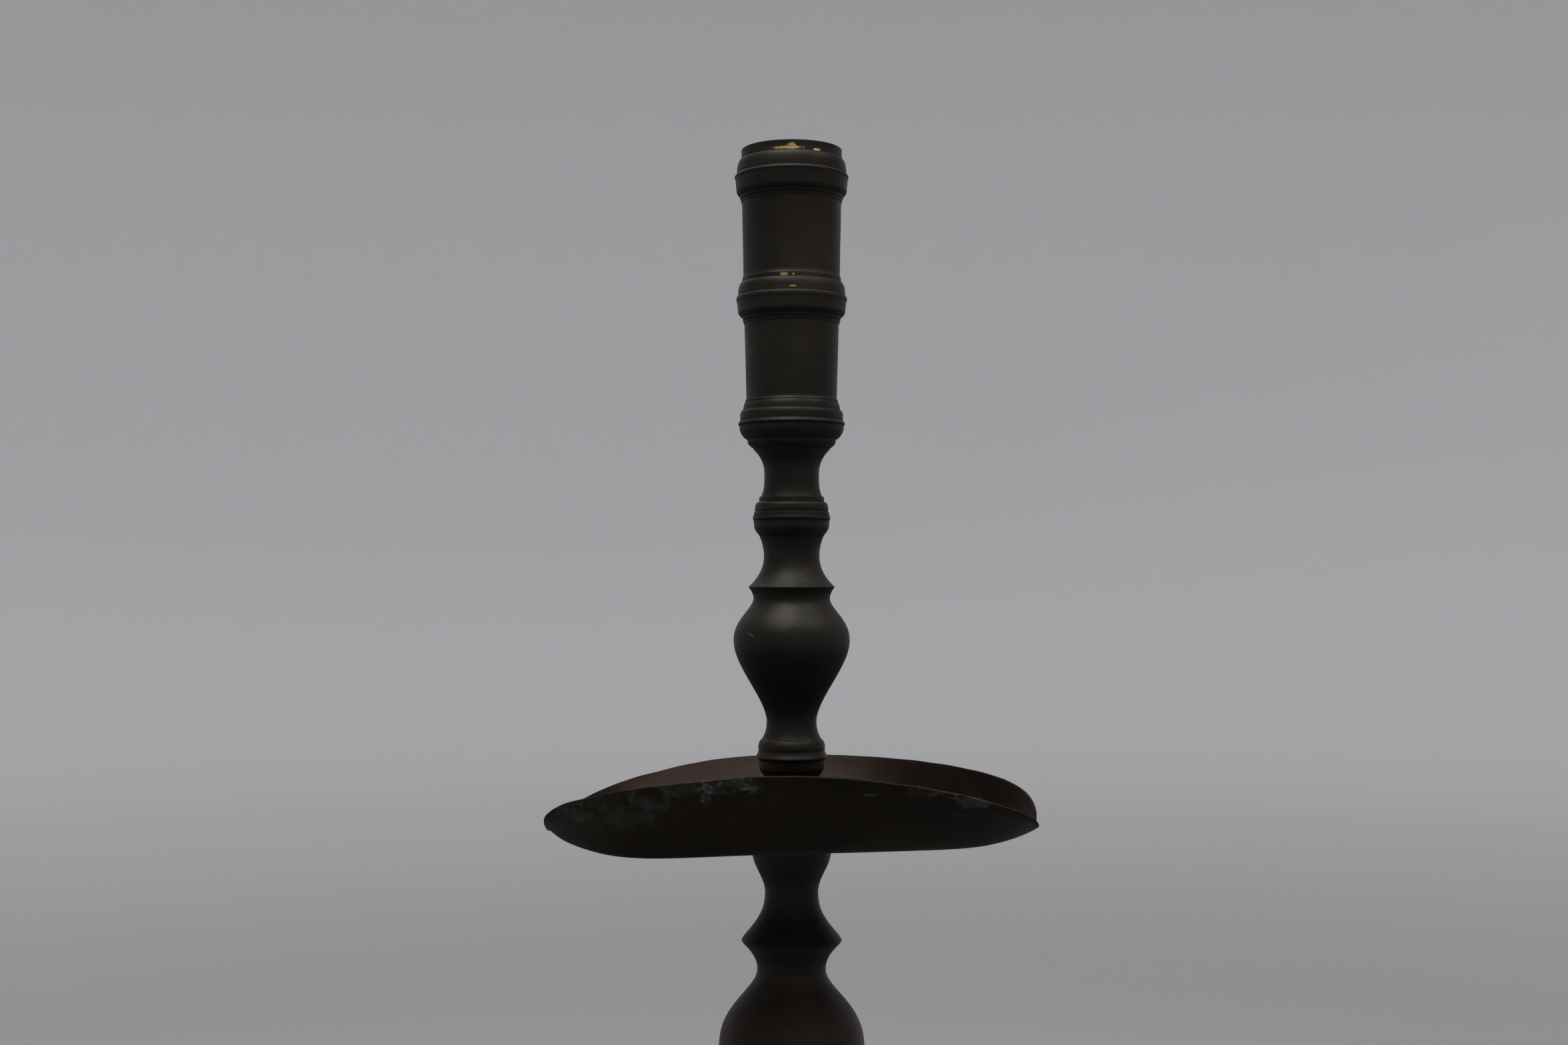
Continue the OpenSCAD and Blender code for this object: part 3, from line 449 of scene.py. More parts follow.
stemFinish = {
    "cloudScale": 21.0,
    "deep": (0.0058, 0.0047, 0.0034, 1),
    "light": (0.0245, 0.0210, 0.0160, 1),
    "warm": (0.0220, 0.0138, 0.0088, 1),
    "cool": (0.0128, 0.0130, 0.0098, 1),
    "speck": (0.034, 0.030, 0.024, 1),
    "dustColor": (0.044, 0.038, 0.031, 1),
    # grime colour of the corners, also the colour of the painted underside shade
    "grimeAndShade": (0.0030, 0.0026, 0.0022, 1),
    "brass": (0.120, 0.085, 0.045, 1),
    "streak": 0.55,
    "rubbed": 0.30,
    "dust": 0.6,
    "rough": (0.40, 0.54),
    "metal": 0.45,
    "lathe": 0.35,
    "dents": 0.7,
    "pitted": 0.45,
}
socketFinish = dict(stemFinish, deep=(0.0080, 0.0066, 0.0049, 1), light=(0.0285, 0.0245, 0.0188, 1),
                    rubbed=0.42, places=brightPlaces, scratches=scratches[3:4])
ballFinish = dict(stemFinish, scratches=scratches, pits=darkPits, rubbed=0.34, dust=0.22)
knopFinish = dict(stemFinish, deep=(0.0080, 0.0060, 0.0045, 1), light=(0.0320, 0.0210, 0.0158, 1),
                  warm=(0.0440, 0.0190, 0.0132, 1),
                  cool=(0.0130, 0.0115, 0.0092, 1), streak=0.8, rubbed=0.22)
# the pan support is a much darker copy of the stem bronze: painted shade of the drip pan above it
supportFinishPaintedShade = dict(stemFinish, deep=(0.0038, 0.0036, 0.0028, 1), light=(0.0085, 0.0082, 0.0064, 1),
                     warm=(0.0092, 0.0064, 0.0042, 1), cool=(0.0050, 0.0056, 0.0040, 1),
                     rubbed=0.22, dust=0.3, metal=0.2)
footFinish = dict(stemFinish, cloudScale=14.0, rubbed=0.36, dust=0.7)

socketBronze = bronzeMaterial("socketBronze", socketFinish)
stemBronze = bronzeMaterial("stemBronze", ballFinish)
knopBronze = bronzeMaterial("knopBronze", knopFinish)
supportBronzePaintedShade = bronzeMaterial("supportBronzePaintedShade", supportFinishPaintedShade)
footBronze = bronzeMaterial("footBronze", footFinish)
print("bronze materials made")


ironFinish = {
    "deep": (0.030, 0.026, 0.023, 1),
    "light": (0.085, 0.050, 0.030, 1),
    "rust": (0.14, 0.065, 0.030, 1),
}


def ironMaterial():
    # rough forged iron with brown rust
    material, tree, shader, vector = newMaterial("forgedIron")
    tone = placeGroup(tree, patinaTone, vector, {"Cloud Scale": 90.0, "Speck Scale": 900.0})
    color = mixColor(tree, tone.outputs["Cloud"], ironFinish["deep"], ironFinish["light"])
    color = wash(tree, tone.outputs["Speck"], 0.7, color, ironFinish["rust"])
    tree.links.new(color, shader.inputs["Base Color"])
    tree.links.new(ramp(tree, tone.outputs["Cloud"], 0.0, 1.0, 0.5, 0.8, False), shader.inputs["Roughness"])
    shader.inputs["Metallic"].default_value = 0.4
    height = placeGroup(tree, turnedHeight, vector, {"Lathe": 0.0, "Dents": 0.8, "Pits": 0.9}).outputs[0]
    bump = addNode(tree, "ShaderNodeBump", {"Strength": 0.7, "Distance": 0.0003}, {"Height": height})
    tree.links.new(bump.outputs[0], shader.inputs["Normal"])
    return material


forgedIron = ironMaterial()


panPlaces = [
    {"middle": (-0.0300, -0.1060, 0.3505), "reach": (0.0175, 0.020, 0.0044), "ragged": 0.8,
     "veil": 0.35, "strokes": 1.3},
    {"middle": (-0.0386, -0.1040, 0.3450), "reach": (0.0026, 0.020, 0.0046), "ragged": 0.8,
     "veil": 0.30, "strokes": 0.8},
    {"middle": (-0.0725, -0.0950, 0.3450), "reach": (0.0020, 0.030, 0.0040), "ragged": 0.8,
     "veil": 0.25, "strokes": 0.4},
    {"middle": (-0.0560, -0.1010, 0.3451), "reach": (0.0018, 0.030, 0.0034), "ragged": 0.8,
     "veil": 0.22, "strokes": 0.4},
    {"middle": (-0.0480, -0.1030, 0.3500), "reach": (0.0200, 0.030, 0.0050), "ragged": 0.9,
     "veil": 0.22, "strokes": 0.15},
    {"middle": (-0.1010, -0.0620, 0.3345), "reach": (0.0150, 0.040, 0.0060), "ragged": 0.9,
     "veil": 0.30, "strokes": 0.15},
    {"middle": (-0.0850, -0.0850, 0.3390), "reach": (0.0350, 0.050, 0.0110), "ragged": 0.9,
     "veil": 0.20, "strokes": 0.06},
    {"middle": (0.0340, -0.1040, 0.3463), "reach": (0.0034, 0.020, 0.0010), "ragged": 0.8,
     "veil": 0.3, "strokes": 0.9},
    {"middle": (0.0768, -0.0900, 0.3347), "reach": (0.0038, 0.030, 0.0012), "ragged": 0.8,
     "veil": 0.3, "strokes": 0.7},
    {"middle": (0.0660, -0.0960, 0.3475), "reach": (0.0160, 0.030, 0.0045), "ragged": 0.9,
     "veil": 0.40, "strokes": 0.3},
    {"middle": (0.0860, -0.0840, 0.3415), "reach": (0.0140, 0.030, 0.0045), "ragged": 0.9,
     "veil": 0.36, "strokes": 0.2},
]
# painted highlights: two glints on the front rim of the pan
rimGlints = [
    {"middle": (-0.0287, -0.1090, 0.3562), "reach": (0.0030, 0.0030, 0.0014)},
    {"middle": (0.0005, -0.1098, 0.3566), "reach": (0.0022, 0.0030, 0.0013)},
]
panFinish = {
    "outsideDeep": (0.0076, 0.0056, 0.0035, 1),
    "outsideLight": (0.0152, 0.0114, 0.0072, 1),
    "insideDeep": (0.0172, 0.0106, 0.0084, 1),
    "insideLight": (0.0350, 0.0218, 0.0178, 1),
    "speck": (0.034, 0.028, 0.022, 1),
    "smear": (0.100, 0.105, 0.095, 1),
    "dustColor": (0.036, 0.029, 0.025, 1),
    "rubbed": (0.050, 0.040, 0.030, 1),
    "glint": (0.30, 0.26, 0.19, 1),
    "smearGrain": 190.0,
    "glintRagged": 0.5,
    "glintGrain": 600.0,
}


def panMaterial():
    # thin sheet: reddish tan inside, olive brown outside, grey green smears and old wax near the edges, and
    # two painted highlights on the front rim
    material, tree, shader, vector = newMaterial("panBronze")
    tone = placeGroup(tree, patinaTone, vector, {"Cloud Scale": 17.0, "Streak Scale": 40.0})
    wear = placeGroup(tree, arrisWear, vector, {"Amount": 0.5})
    dust = placeGroup(tree, dustAndUnderShade, vector, {"Amount": 0.22})
    geometry = addNode(tree, "ShaderNodeNewGeometry")
    split = addNode(tree, "ShaderNodeSeparateXYZ", None, {"Vector": geometry.outputs["Normal"]})
    edge = markNode(tree, "arris").outputs["Fac"]
    inner = ramp(tree, split.outputs["Z"], -0.1, 0.25)
    inner = maths(tree, "MULTIPLY", inner, ramp(tree, edge, 0.35, 0.9, 1.0, 0.1))
    outside = mixColor(tree, tone.outputs["Cloud"], panFinish["outsideDeep"], panFinish["outsideLight"])
    inside = mixColor(tree, tone.outputs["Cloud"], panFinish["insideDeep"], panFinish["insideLight"])
    color = mixColor(tree, inner, outside, inside)
    color = wash(tree, tone.outputs["Speck"], 0.35, color, panFinish["speck"])
    smear = ramp(tree, noiseMask(tree, vector, 55.0, 7.0, 0.74, (1.0, 1.0, 1.8)), 0.36, 0.68)
    strokes = ramp(tree, noiseMask(tree, vector, 230.0, 6.0, 0.78, (0.7, 1.0, 1.3)), 0.50, 0.63)
    stains = []
    for place in panPlaces:
        patch = patchMask(tree, vector, place, place["ragged"], panFinish["smearGrain"])
        veil = maths(tree, "MULTIPLY", smear, place["veil"])
        both = addShare(tree, veil, strokes, place["strokes"])
        stains.append(maths(tree, "MULTIPLY", patch, both, True))
    stain = strongest(tree, stains)
    color = mixColor(tree, stain, color, panFinish["smear"])
    color = mixColor(tree, dust.outputs["Dust"], color, panFinish["dustColor"])
    color = wash(tree, wear.outputs["Rubbed"], 0.12, color, panFinish["rubbed"])
    # painted highlights: the pale glint colour laid on the front rim
    ragged, grain = panFinish["glintRagged"], panFinish["glintGrain"]
    glint = strongest(tree, [patchMask(tree, vector, place, ragged, grain) for place in rimGlints])
    color = mixColor(tree, glint, color, panFinish["glint"])
    tree.links.new(color, shader.inputs["Base Color"])
    rough = ramp(tree, tone.outputs["Cloud"], 0.0, 1.0, 0.44, 0.56, False)
    rough = maths(tree, "ADD", rough, ramp(tree, inner, 0.0, 1.0, 0.22, 0.0))
    rough = addShare(tree, rough, edge, 0.2)
    rough = addShare(tree, rough, stain, 0.3, True)
    tree.links.new(rough, shader.inputs["Roughness"])
    tree.links.new(ramp(tree, inner, 0.0, 1.0, 0.25, 0.6), shader.inputs["Metallic"])
    shader.inputs["Specular IOR Level"].default_value = 0.10
    height = placeGroup(tree, turnedHeight, vector, {"Lathe": 0.0, "Dents": 1.3, "Pits": 0.4}).outputs[0]
    height = addShare(tree, height, stain, 0.8)
    bump = addNode(tree, "ShaderNodeBump", {"Strength": 0.6, "Distance": 0.0004}, {"Height": height})
    tree.links.new(bump.outputs[0], shader.inputs["Normal"])
    return material


panBronze = panMaterial()
print("iron and pan materials made")


# turned pieces: the CAD section is cut out, its corners are eased, and it is spun again finely

turning = {
    "steps": 144,
    "footSteps": 180,
    "corner": 0.00020,      # easing of the arrises
    "wideRoom": 0.0006,     # corners with less room beside them get only a share of it
    "tightRoom": 0.00025,
    "tightShare": 0.45,
    "cornerAngle": 20,      # bends sharper than this count as corners
    "markReach": 0.0010,    # how far rubbing and dirt reach from a corner
    "longestEdge": 0.0012,  # profile edges are divided down to this
    "footEdge": 0.0024,
    "wobble": 0.00009,      # unevenness of the old castings
}


def sectionProfile(nodeName, pieceName):
    piece = mergedCopy(nodeName, pieceName)
    bpy.ops.object.mode_set(mode="EDIT")
    bpy.ops.mesh.select_all(action="SELECT")
    bpy.ops.mesh.bisect(plane_co=(0, 0, 0), plane_no=(0, 1, 0), clear_inner=True, clear_outer=True)
    bpy.ops.mesh.select_all(action="SELECT")
    bpy.ops.mesh.bisect(plane_co=(0.000001, 0, 0), plane_no=(1, 0, 0), clear_inner=True)
    bpy.ops.mesh.select_all(action="SELECT")
    bpy.ops.mesh.remove_doubles(threshold=0.00009)
    bpy.ops.object.mode_set(mode="OBJECT")
    return piece


def inMetal(edges, x, z):
    # counts the walls to the right of a point of the section
    crossed = 0
    for (x0, z0), (x1, z1) in edges:
        if (z0 > z) != (z1 > z) and x < x0 + (z - z0) * (x1 - x0) / (z1 - z0):
            crossed += 1
    return crossed % 2 == 1


def findCorners(piece):
    # every sharp corner of the section: its place, the room beside it, and whether the metal fills it
    work = bmesh.new()
    work.from_mesh(piece.data)
    edges = [tuple((v.co.x, v.co.z) for v in edge.verts) for edge in work.edges]
    limit = math.radians(turning["cornerAngle"])
    corners = []
    for vertex in work.verts:
        if len(vertex.link_edges) != 2:
            continue
        sides = [edge.other_vert(vertex).co - vertex.co for edge in vertex.link_edges]
        if math.pi - sides[0].angle(sides[1]) < limit:
            continue
        middle = (sides[0].normalized() + sides[1].normalized()).normalized() * 0.00003
        corners.append({
            "place": vertex.co.copy(),
            "room": min(side.length for side in sides),
            "convex": inMetal(edges, vertex.co.x + middle.x, vertex.co.z + middle.z),
        })
    work.free()
    return corners


def selectPoints(piece, places):
    wanted = {tuple(round(c, 6) for c in place) for place in places}
    bpy.ops.object.mode_set(mode="OBJECT")
    for polygon in piece.data.polygons:
        polygon.select = False
    for edge in piece.data.edges:
        edge.select = False
    for vertex in piece.data.vertices:
        vertex.select = tuple(round(c, 6) for c in vertex.co) in wanted
    bpy.ops.object.mode_set(mode="EDIT")
    bpy.ops.mesh.select_mode(type="VERT")


def easeCorners(piece, corners):
    # wide corners get the full easing, tight ones a small one
    wide, tight = turning["wideRoom"], turning["tightRoom"]
    for low, high, share in ((wide, 1, 1), (tight, wide, turning["tightShare"])):
        places = [corner["place"] for corner in corners if low <= corner["room"] < high]
        if places:
            selectPoints(piece, places)
            bpy.ops.mesh.bevel(offset=turning["corner"] * share, segments=3, affect="VERTICES",
                               clamp_overlap=False)
    bpy.ops.object.mode_set(mode="OBJECT")


def divideLongEdges(piece, longest):
    for turn in range(8):
        bpy.ops.object.mode_set(mode="OBJECT")
        for vertex in piece.data.vertices:
            vertex.select = False
        found = 0
        for edge in piece.data.edges:
            a, b = (piece.data.vertices[i].co for i in edge.vertices)
            edge.select = (a - b).length > longest
            found += edge.select
        if not found:
            break
        bpy.ops.object.mode_set(mode="EDIT")
        bpy.ops.mesh.select_mode(type="EDGE")
        bpy.ops.mesh.subdivide(number_cuts=1)
    bpy.ops.object.mode_set(mode="OBJECT")


def markCorners(piece, corners, reach):
    # arris and crevice are 1 on a corner and fall to 0 at reach
    mesh = piece.data
    values = {"arris": [0.0] * len(mesh.vertices), "crevice": [0.0] * len(mesh.vertices)}
    for name, wantConvex in (("arris", True), ("crevice", False)):
        chosen = [corner["place"] for corner in corners if corner["convex"] == wantConvex]
        if not chosen:
            continue
        tree = kdtree.KDTree(len(chosen))
        for index, place in enumerate(chosen):
            tree.insert(Vector((math.hypot(place.x, place.y), 0, place.z)), index)
        tree.balance()
        for vertex in mesh.vertices:
            spot = Vector((math.hypot(vertex.co.x, vertex.co.y), 0, vertex.co.z))
            distance = tree.find(spot)[2]
            values[name][vertex.index] = max(0.0, 1.0 - distance / reach)
    for name in values:
        attribute = mesh.attributes.new(name, "FLOAT", "POINT")
        attribute.data.foreach_set("value", values[name])


def unevenness(place):
    # slow bumps of an old casting, the same field for all pieces so that neighbours still meet
    slow = noise.noise(place * 38)
    quick = noise.noise(place * 110 + Vector((7, 3, 1))) * 0.4
    return (slow + quick) * turning["wobble"]


def spinPiece(nodeName, pieceName, material, body):
    large = nodeName == "foot_dome"
    piece = sectionProfile(nodeName, pieceName)
    corners = findCorners(piece)
    easeCorners(piece, corners)
    divideLongEdges(piece, turning["footEdge" if large else "longestEdge"])
    activate(piece)
    bpy.ops.object.mode_set(mode="EDIT")
    bpy.ops.mesh.select_mode(type="VERT")
    bpy.ops.mesh.select_all(action="SELECT")
    bpy.ops.mesh.spin(steps=turning["footSteps" if large else "steps"], angle=math.tau,
                      center=(0, 0, 0), axis=(0, 0, 1))
    bpy.ops.mesh.select_all(action="SELECT")
    bpy.ops.mesh.remove_doubles(threshold=0.000004)
    bpy.ops.mesh.normals_make_consistent(inside=False)
    bpy.ops.object.mode_set(mode="OBJECT")
    for vertex in piece.data.vertices:
        reach = math.hypot(vertex.co.x, vertex.co.y)
        if reach > 0.001:
            grown = 1 + unevenness(vertex.co) / reach
            vertex.co.x *= grown
            vertex.co.y *= grown
    markCorners(piece, corners, turning["markReach"])
    bpy.ops.object.shade_smooth_by_angle(angle=math.radians(32))
    piece.data.materials.clear()
    piece.data.materials.append(material)
    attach(piece, body)
    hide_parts(nodeName)
    return piece


turnedPieces = [
    ("socket_top", "upperSocket", socketBronze, "upper_stem"),
    ("socket_base", "lowerSocket", socketBronze, "upper_stem"),
    ("cup_neck", "cupAndNeck", stemBronze, "upper_stem"),
    ("ring_knop", "ringKnop", stemBronze, "upper_stem"),
    ("upper_baluster", "balusterBulb", stemBronze, "upper_stem"),
    ("pan_collar", "panCollar", stemBronze, "upper_stem"),
    ("pan_support", "panSupport", supportBronzePaintedShade, "root"),
    ("main_knop", "mainKnop", knopBronze, "root"),
    ("foot_collar", "footCollar", footBronze, "root"),
    ("foot_dome", "domedFoot", footBronze, "root"),
]
for nodeName, pieceName, material, body in turnedPieces:
    piece = spinPiece(nodeName, pieceName, material, body)
    print("turned", pieceName, len(piece.data.polygons), "faces")


# the drip pan: one sheet, flat in the middle, bent up along two creases and rounded into its edge

pan = {
    "floor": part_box("drip_pan")[0].z,
    "sheet": 0.0013,
    "radius": 0.1219,
    "holeRadius": 0.0084,
    "frontLift": 0.0384,
    "backLift": 0.0264,
    "sideLift": 0.0018,
    "frontDraw": 0.012,
    "backDraw": 0.007,
    "frontCrease": 0.073,
    "backCrease": 0.082,
    "creaseTurn": 10,
    "edgeStrip": 0.004,
    "wideStrip": 0.018,
    "leftStrip": 0.009,
    "rises": {"rightBack": 0.36, "leftBack": 1.45, "leftFront": 0.93, "rightFront": 1.25},
    "leftTip": -0.0012,     # the left end hangs a little lower
    "belly": {"middle": (-0.064, -0.066), "reach": 0.030, "deep": 0.0012},
    "cornerPower": 14,
    "waves": {"scale": 26, "deep": 0.00045},
    "dents": {"scale": 75, "deep": 0.00016},
    "ragged": 0.00022,
    "edgeRounding": 0.00035,
    "spokes": 288,
    "floorRings": 14,
    "wallRings": 22,
}


def panRise(degrees):
    right = degrees <= 90 or degrees > 270
    if degrees <= 180:
        return pan["rises"]["rightBack" if right else "leftBack"]
    return pan["rises"]["rightFront" if right else "leftFront"]


def rimHeight(degrees):
    lift = pan["backLift"] if degrees <= 180 else pan["frontLift"]
    rise = (lift - pan["sideLift"]) * abs(math.sin(math.radians(degrees))) ** panRise(degrees)
    tip = pan["leftTip"] * max(0, -math.cos(math.radians(degrees))) ** 12
    return pan["sideLift"] + tip + rise


def rimRadius(degrees):
    draw = pan["backDraw"] if degrees <= 180 else pan["frontDraw"]
    return pan["radius"] - draw * math.sin(math.radians(degrees)) ** 4


def creaseRadius(degrees):
    back = degrees <= 180
    turned = math.radians(degrees - (90 if back else 270) - pan["creaseTurn"])
    reach = pan["backCrease" if back else "frontCrease"] / max(0.35, math.cos(turned))
    strip = pan["edgeStrip"] + (pan["wideStrip"] - pan["edgeStrip"]) * max(
        0, math.cos(math.radians(degrees - 330))) ** 8
    strip += (pan["leftStrip"] - pan["edgeStrip"]) * max(0, math.cos(math.radians(degrees - 205))) ** 8
    limit = rimRadius(degrees) - strip
    power = pan["cornerPower"]
    return (reach ** -power + limit ** -power) ** (-1 / power)


def panDent(x, y, share):
    # hand bent: slow waves that grow towards the edge, a few small dents and a belly at the front left
    waves, dents = pan["waves"], pan["dents"]
    slow = noise.noise(Vector((x * waves["scale"], y * waves["scale"], 4.2))) * waves["deep"]
    small = noise.noise(Vector((x * dents["scale"], y * dents["scale"], 9.1))) * dents["deep"]
    belly = pan["belly"]
    away = math.hypot(x - belly["middle"][0], y - belly["middle"][1]) / belly["reach"]
    return (slow + small) * min(1.0, share * 1.6) - belly["deep"] * math.exp(-away ** 2)


def makePan():
    rings = pan["floorRings"] + pan["wallRings"]
    bpy.ops.object.select_all(action="DESELECT")
    bpy.ops.mesh.primitive_circle_add(vertices=pan["spokes"], radius=pan["holeRadius"], fill_type="NOTHING")
    piece = bpy.context.object
    piece.name = "bentPan"
    bpy.ops.object.mode_set(mode="EDIT")
    bpy.ops.mesh.select_all(action="SELECT")
    for ring in range(rings):
        bpy.ops.mesh.extrude_edges_move()
        bpy.ops.transform.resize(value=(1.06, 1.06, 1))
    bpy.ops.object.mode_set(mode="OBJECT")
    spokes = pan["spokes"]
    for vertex in piece.data.vertices:
        ring = vertex.index // spokes
        degrees = 360 * (vertex.index % spokes) / spokes
        crease, rim = creaseRadius(degrees), rimRadius(degrees)
        if ring <= pan["floorRings"]:
            part = ring / pan["floorRings"]
            reach = pan["holeRadius"] + (crease - pan["holeRadius"]) * part
            share = 0.0
        else:
            share = (ring - pan["floorRings"]) / pan["wallRings"]
            reach = crease + (rim - crease) * share
        x = reach * math.cos(math.radians(degrees))
        y = reach * math.sin(math.radians(degrees))
        height = rimHeight(degrees) * share ** 2
        edge = max(0.0, share - 0.8) * 5
        ragged = noise.noise(Vector((x / reach * 9, y / reach * 9, 2.5)))
        height += panDent(x, y, share) + ragged * pan["ragged"] * edge
        vertex.co = Vector((x, y, pan["floor"] + pan["sheet"] + height))
    activate(piece)
    bpy.ops.object.mode_set(mode="EDIT")
    bpy.ops.mesh.select_all(action="SELECT")
    bpy.ops.mesh.normals_make_consistent(inside=False)
    bpy.ops.object.mode_set(mode="OBJECT")
    middle = piece.data.polygons[spokes * 3]
    if middle.normal.z < 0:
        activate(piece)
        bpy.ops.object.mode_set(mode="EDIT")
        bpy.ops.mesh.select_all(action="SELECT")
        bpy.ops.mesh.flip_normals()
        bpy.ops.object.mode_set(mode="OBJECT")
    thickness = piece.modifiers.new("sheet", "SOLIDIFY")
    thickness.thickness = pan["sheet"]
    thickness.offset = -1
    thickness.use_even_offset = True
    rounding = piece.modifiers.new("edge", "BEVEL")
    rounding.width = pan["edgeRounding"]
    rounding.segments = 3
    rounding.limit_method = "ANGLE"
    rounding.angle_limit = math.radians(50)
    applyModifiers(piece)
    values = []
    for vertex in piece.data.vertices:
        degrees = math.degrees(math.atan2(vertex.co.y, vertex.co.x)) % 360
        away = rimRadius(degrees) + 0.0008 - math.hypot(vertex.co.x, vertex.co.y)
        values.append(max(0.0, min(1.0, 1.0 - away / 0.0022)))
    attribute = piece.data.attributes.new("arris", "FLOAT", "POINT")
    attribute.data.foreach_set("value", values)
    activate(piece)
    bpy.ops.object.shade_smooth_by_angle(angle=math.radians(35))
    piece.data.materials.clear()
    piece.data.materials.append(panBronze)
    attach(piece, "pan")
    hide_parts("drip_pan")
    return piece


bentPan = makePan()
print("pan made", len(bentPan.data.polygons), "faces")


# iron work: rods with cut threads, nuts and washers with broken edges

def threadRidge(name, crest, root, pitch, low, high):
    # a closed four sided ridge, screwed up along the rod and run out at both ends
    bpy.ops.object.select_all(action="DESELECT")
    bpy.ops.mesh.primitive_plane_add(size=0.001, location=(0, 0, 0))
    piece = bpy.context.object
    piece.name = name
    inner = root - 0.0004
    for index, (reach, part) in enumerate(((inner, 0.0), (crest, 0.44), (inner, 0.98), (crest, 0.56))):
        piece.data.vertices[index].co = Vector((reach, 0, low + part * pitch))
    screw = piece.modifiers.new("helix", "SCREW")
    screw.angle = math.tau
    screw.screw_offset = pitch
    screw.iterations = max(1, int((high - low) / pitch - 0.98))
    screw.steps = 40
    screw.render_steps = 40
    applyModifiers(piece)
    top = max(vertex.co.z for vertex in piece.data.vertices)
    for vertex in piece.data.vertices:
        reach = math.hypot(vertex.co.x, vertex.co.y)
        if reach > root:
            away = min(vertex.co.z - low, top - vertex.co.z) / pitch - 0.4
            wanted = root + (crest - root) * max(0.0, min(1.0, away * 1.6))
            vertex.co.x *= wanted / reach
            vertex.co.y *= wanted / reach
    activate(piece)
    bpy.ops.object.mode_set(mode="EDIT")
    bpy.ops.mesh.select_all(action="SELECT")
    bpy.ops.mesh.fill_holes(sides=4)
    bpy.ops.mesh.select_all(action="SELECT")
    bpy.ops.mesh.normals_make_consistent(inside=False)
    bpy.ops.object.mode_set(mode="OBJECT")
    return piece


def finishIron(piece, nodeName, body):
    piece.data.materials.clear()
    piece.data.materials.append(forgedIron)
    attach(piece, body)
    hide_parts(nodeName)


def brokenEdges(nodeName, pieceName, body, width):
    piece = mergedCopy(nodeName, pieceName)
    bevel = piece.modifiers.new("brokenEdges", "BEVEL")
    bevel.width = width
    bevel.segments = 2
    bevel.limit_method = "ANGLE"
    bevel.angle_limit = math.radians(40)
    applyModifiers(piece)
    activate(piece)
    bpy.ops.object.shade_smooth_by_angle(angle=math.radians(28))
    finishIron(piece, nodeName, body)


def turnedRod(nodeName, pieceName, body, profile, ridges):
    # a round bar, extruded from one end to the other through its diameters
    bpy.ops.object.select_all(action="DESELECT")
    radius, height = profile[0]
    bpy.ops.mesh.primitive_circle_add(vertices=64, radius=radius, fill_type="NGON", location=(0, 0, height))
    piece = bpy.context.object
    piece.name = pieceName
    bpy.ops.object.transform_apply(location=True, rotation=True, scale=True)
    bpy.ops.object.mode_set(mode="EDIT")
    bpy.ops.mesh.select_all(action="SELECT")
    for nextRadius, nextHeight in profile[1:]:
        bpy.ops.mesh.extrude_region_move(TRANSFORM_OT_translate={"value": (0, 0, nextHeight - height)})
        grown = nextRadius / radius
        bpy.ops.transform.resize(value=(grown, grown, 1), center_override=(0, 0, 0))
        radius, height = nextRadius, nextHeight
    bpy.ops.mesh.select_all(action="SELECT")
    bpy.ops.mesh.normals_make_consistent(inside=False)
    bpy.ops.object.mode_set(mode="OBJECT")
    for ridge in ridges:
        ridge.select_set(True)
    bpy.context.view_layer.objects.active = piece
    piece.select_set(True)
    if ridges:
        bpy.ops.object.join()
    bpy.ops.object.shade_smooth_by_angle(angle=math.radians(30))
    finishIron(piece, nodeName, body)


smallIron = [
    ("rod_washer", "socketWasher", "upper_stem", 0.0003),
    ("rod_nut", "socketNut", "upper_stem", 0.0004),
    ("pan_ring", "panRingNut", "upper_stem", 0.0003),
    ("screw_bush", "screwBush", "root", 0.0002),
    ("foot_washer", "footWasher", "root", 0.0003),
    ("foot_nut", "footNut", "root", 0.0004),
]
for nodeName, pieceName, body, width in smallIron:
    brokenEdges(nodeName, pieceName, body, width)

rods = {
    "screwRadius": 0.00798,
    "screwRoot": 0.0066,
    "screwPitch": 0.0025,
    "shoulderRadius": 0.011,
    "shoulderHeight": 0.005,
    "rodRadius": 0.006,
    "rodCrest": 0.00596,
    "rodRoot": 0.0051,
    "rodPitch": 0.00175,
    "chamfer": 0.0007,
    "threadPastNut": 0.004,
}
upperLow, upperHigh = (corner.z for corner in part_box("upper_rod"))
lowerLow, lowerHigh = (corner.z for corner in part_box("lower_rod"))
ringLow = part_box("pan_ring")[0].z
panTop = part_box("drip_pan")[0].z + pan["sheet"]
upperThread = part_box("rod_washer")[0].z - rods["threadPastNut"]
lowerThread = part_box("foot_nut")[1].z - rods["threadPastNut"] / 2
screwRidge = threadRidge("screwRidge", rods["screwRadius"], rods["screwRoot"], rods["screwPitch"],
                         upperLow + 0.0002, ringLow)
upperRidge = threadRidge("upperRidge", rods["rodCrest"], rods["rodRoot"], rods["rodPitch"],
                         upperThread, upperHigh - 0.0001)
lowerRidge = threadRidge("lowerRidge", rods["rodCrest"], rods["rodRoot"], rods["rodPitch"],
                         lowerLow + 0.0001, lowerThread)
turnedRod("upper_rod", "upperRod", "upper_stem", [
    (rods["screwRoot"] - rods["chamfer"], upperLow),
    (rods["screwRoot"], upperLow + rods["chamfer"]),
    (rods["screwRoot"], ringLow - 0.0002),
    (rods["screwRadius"], ringLow),
    (rods["screwRadius"], panTop),
    (rods["shoulderRadius"], panTop + 0.00001),
    (rods["shoulderRadius"], panTop + rods["shoulderHeight"]),
    (rods["rodRadius"], panTop + rods["shoulderHeight"] + 0.00001),
    (rods["rodRadius"], upperThread - 0.0002),
    (rods["rodRoot"], upperThread),
    (rods["rodRoot"], upperHigh - rods["chamfer"]),
    (rods["rodRoot"] - rods["chamfer"], upperHigh),
], [screwRidge, upperRidge])
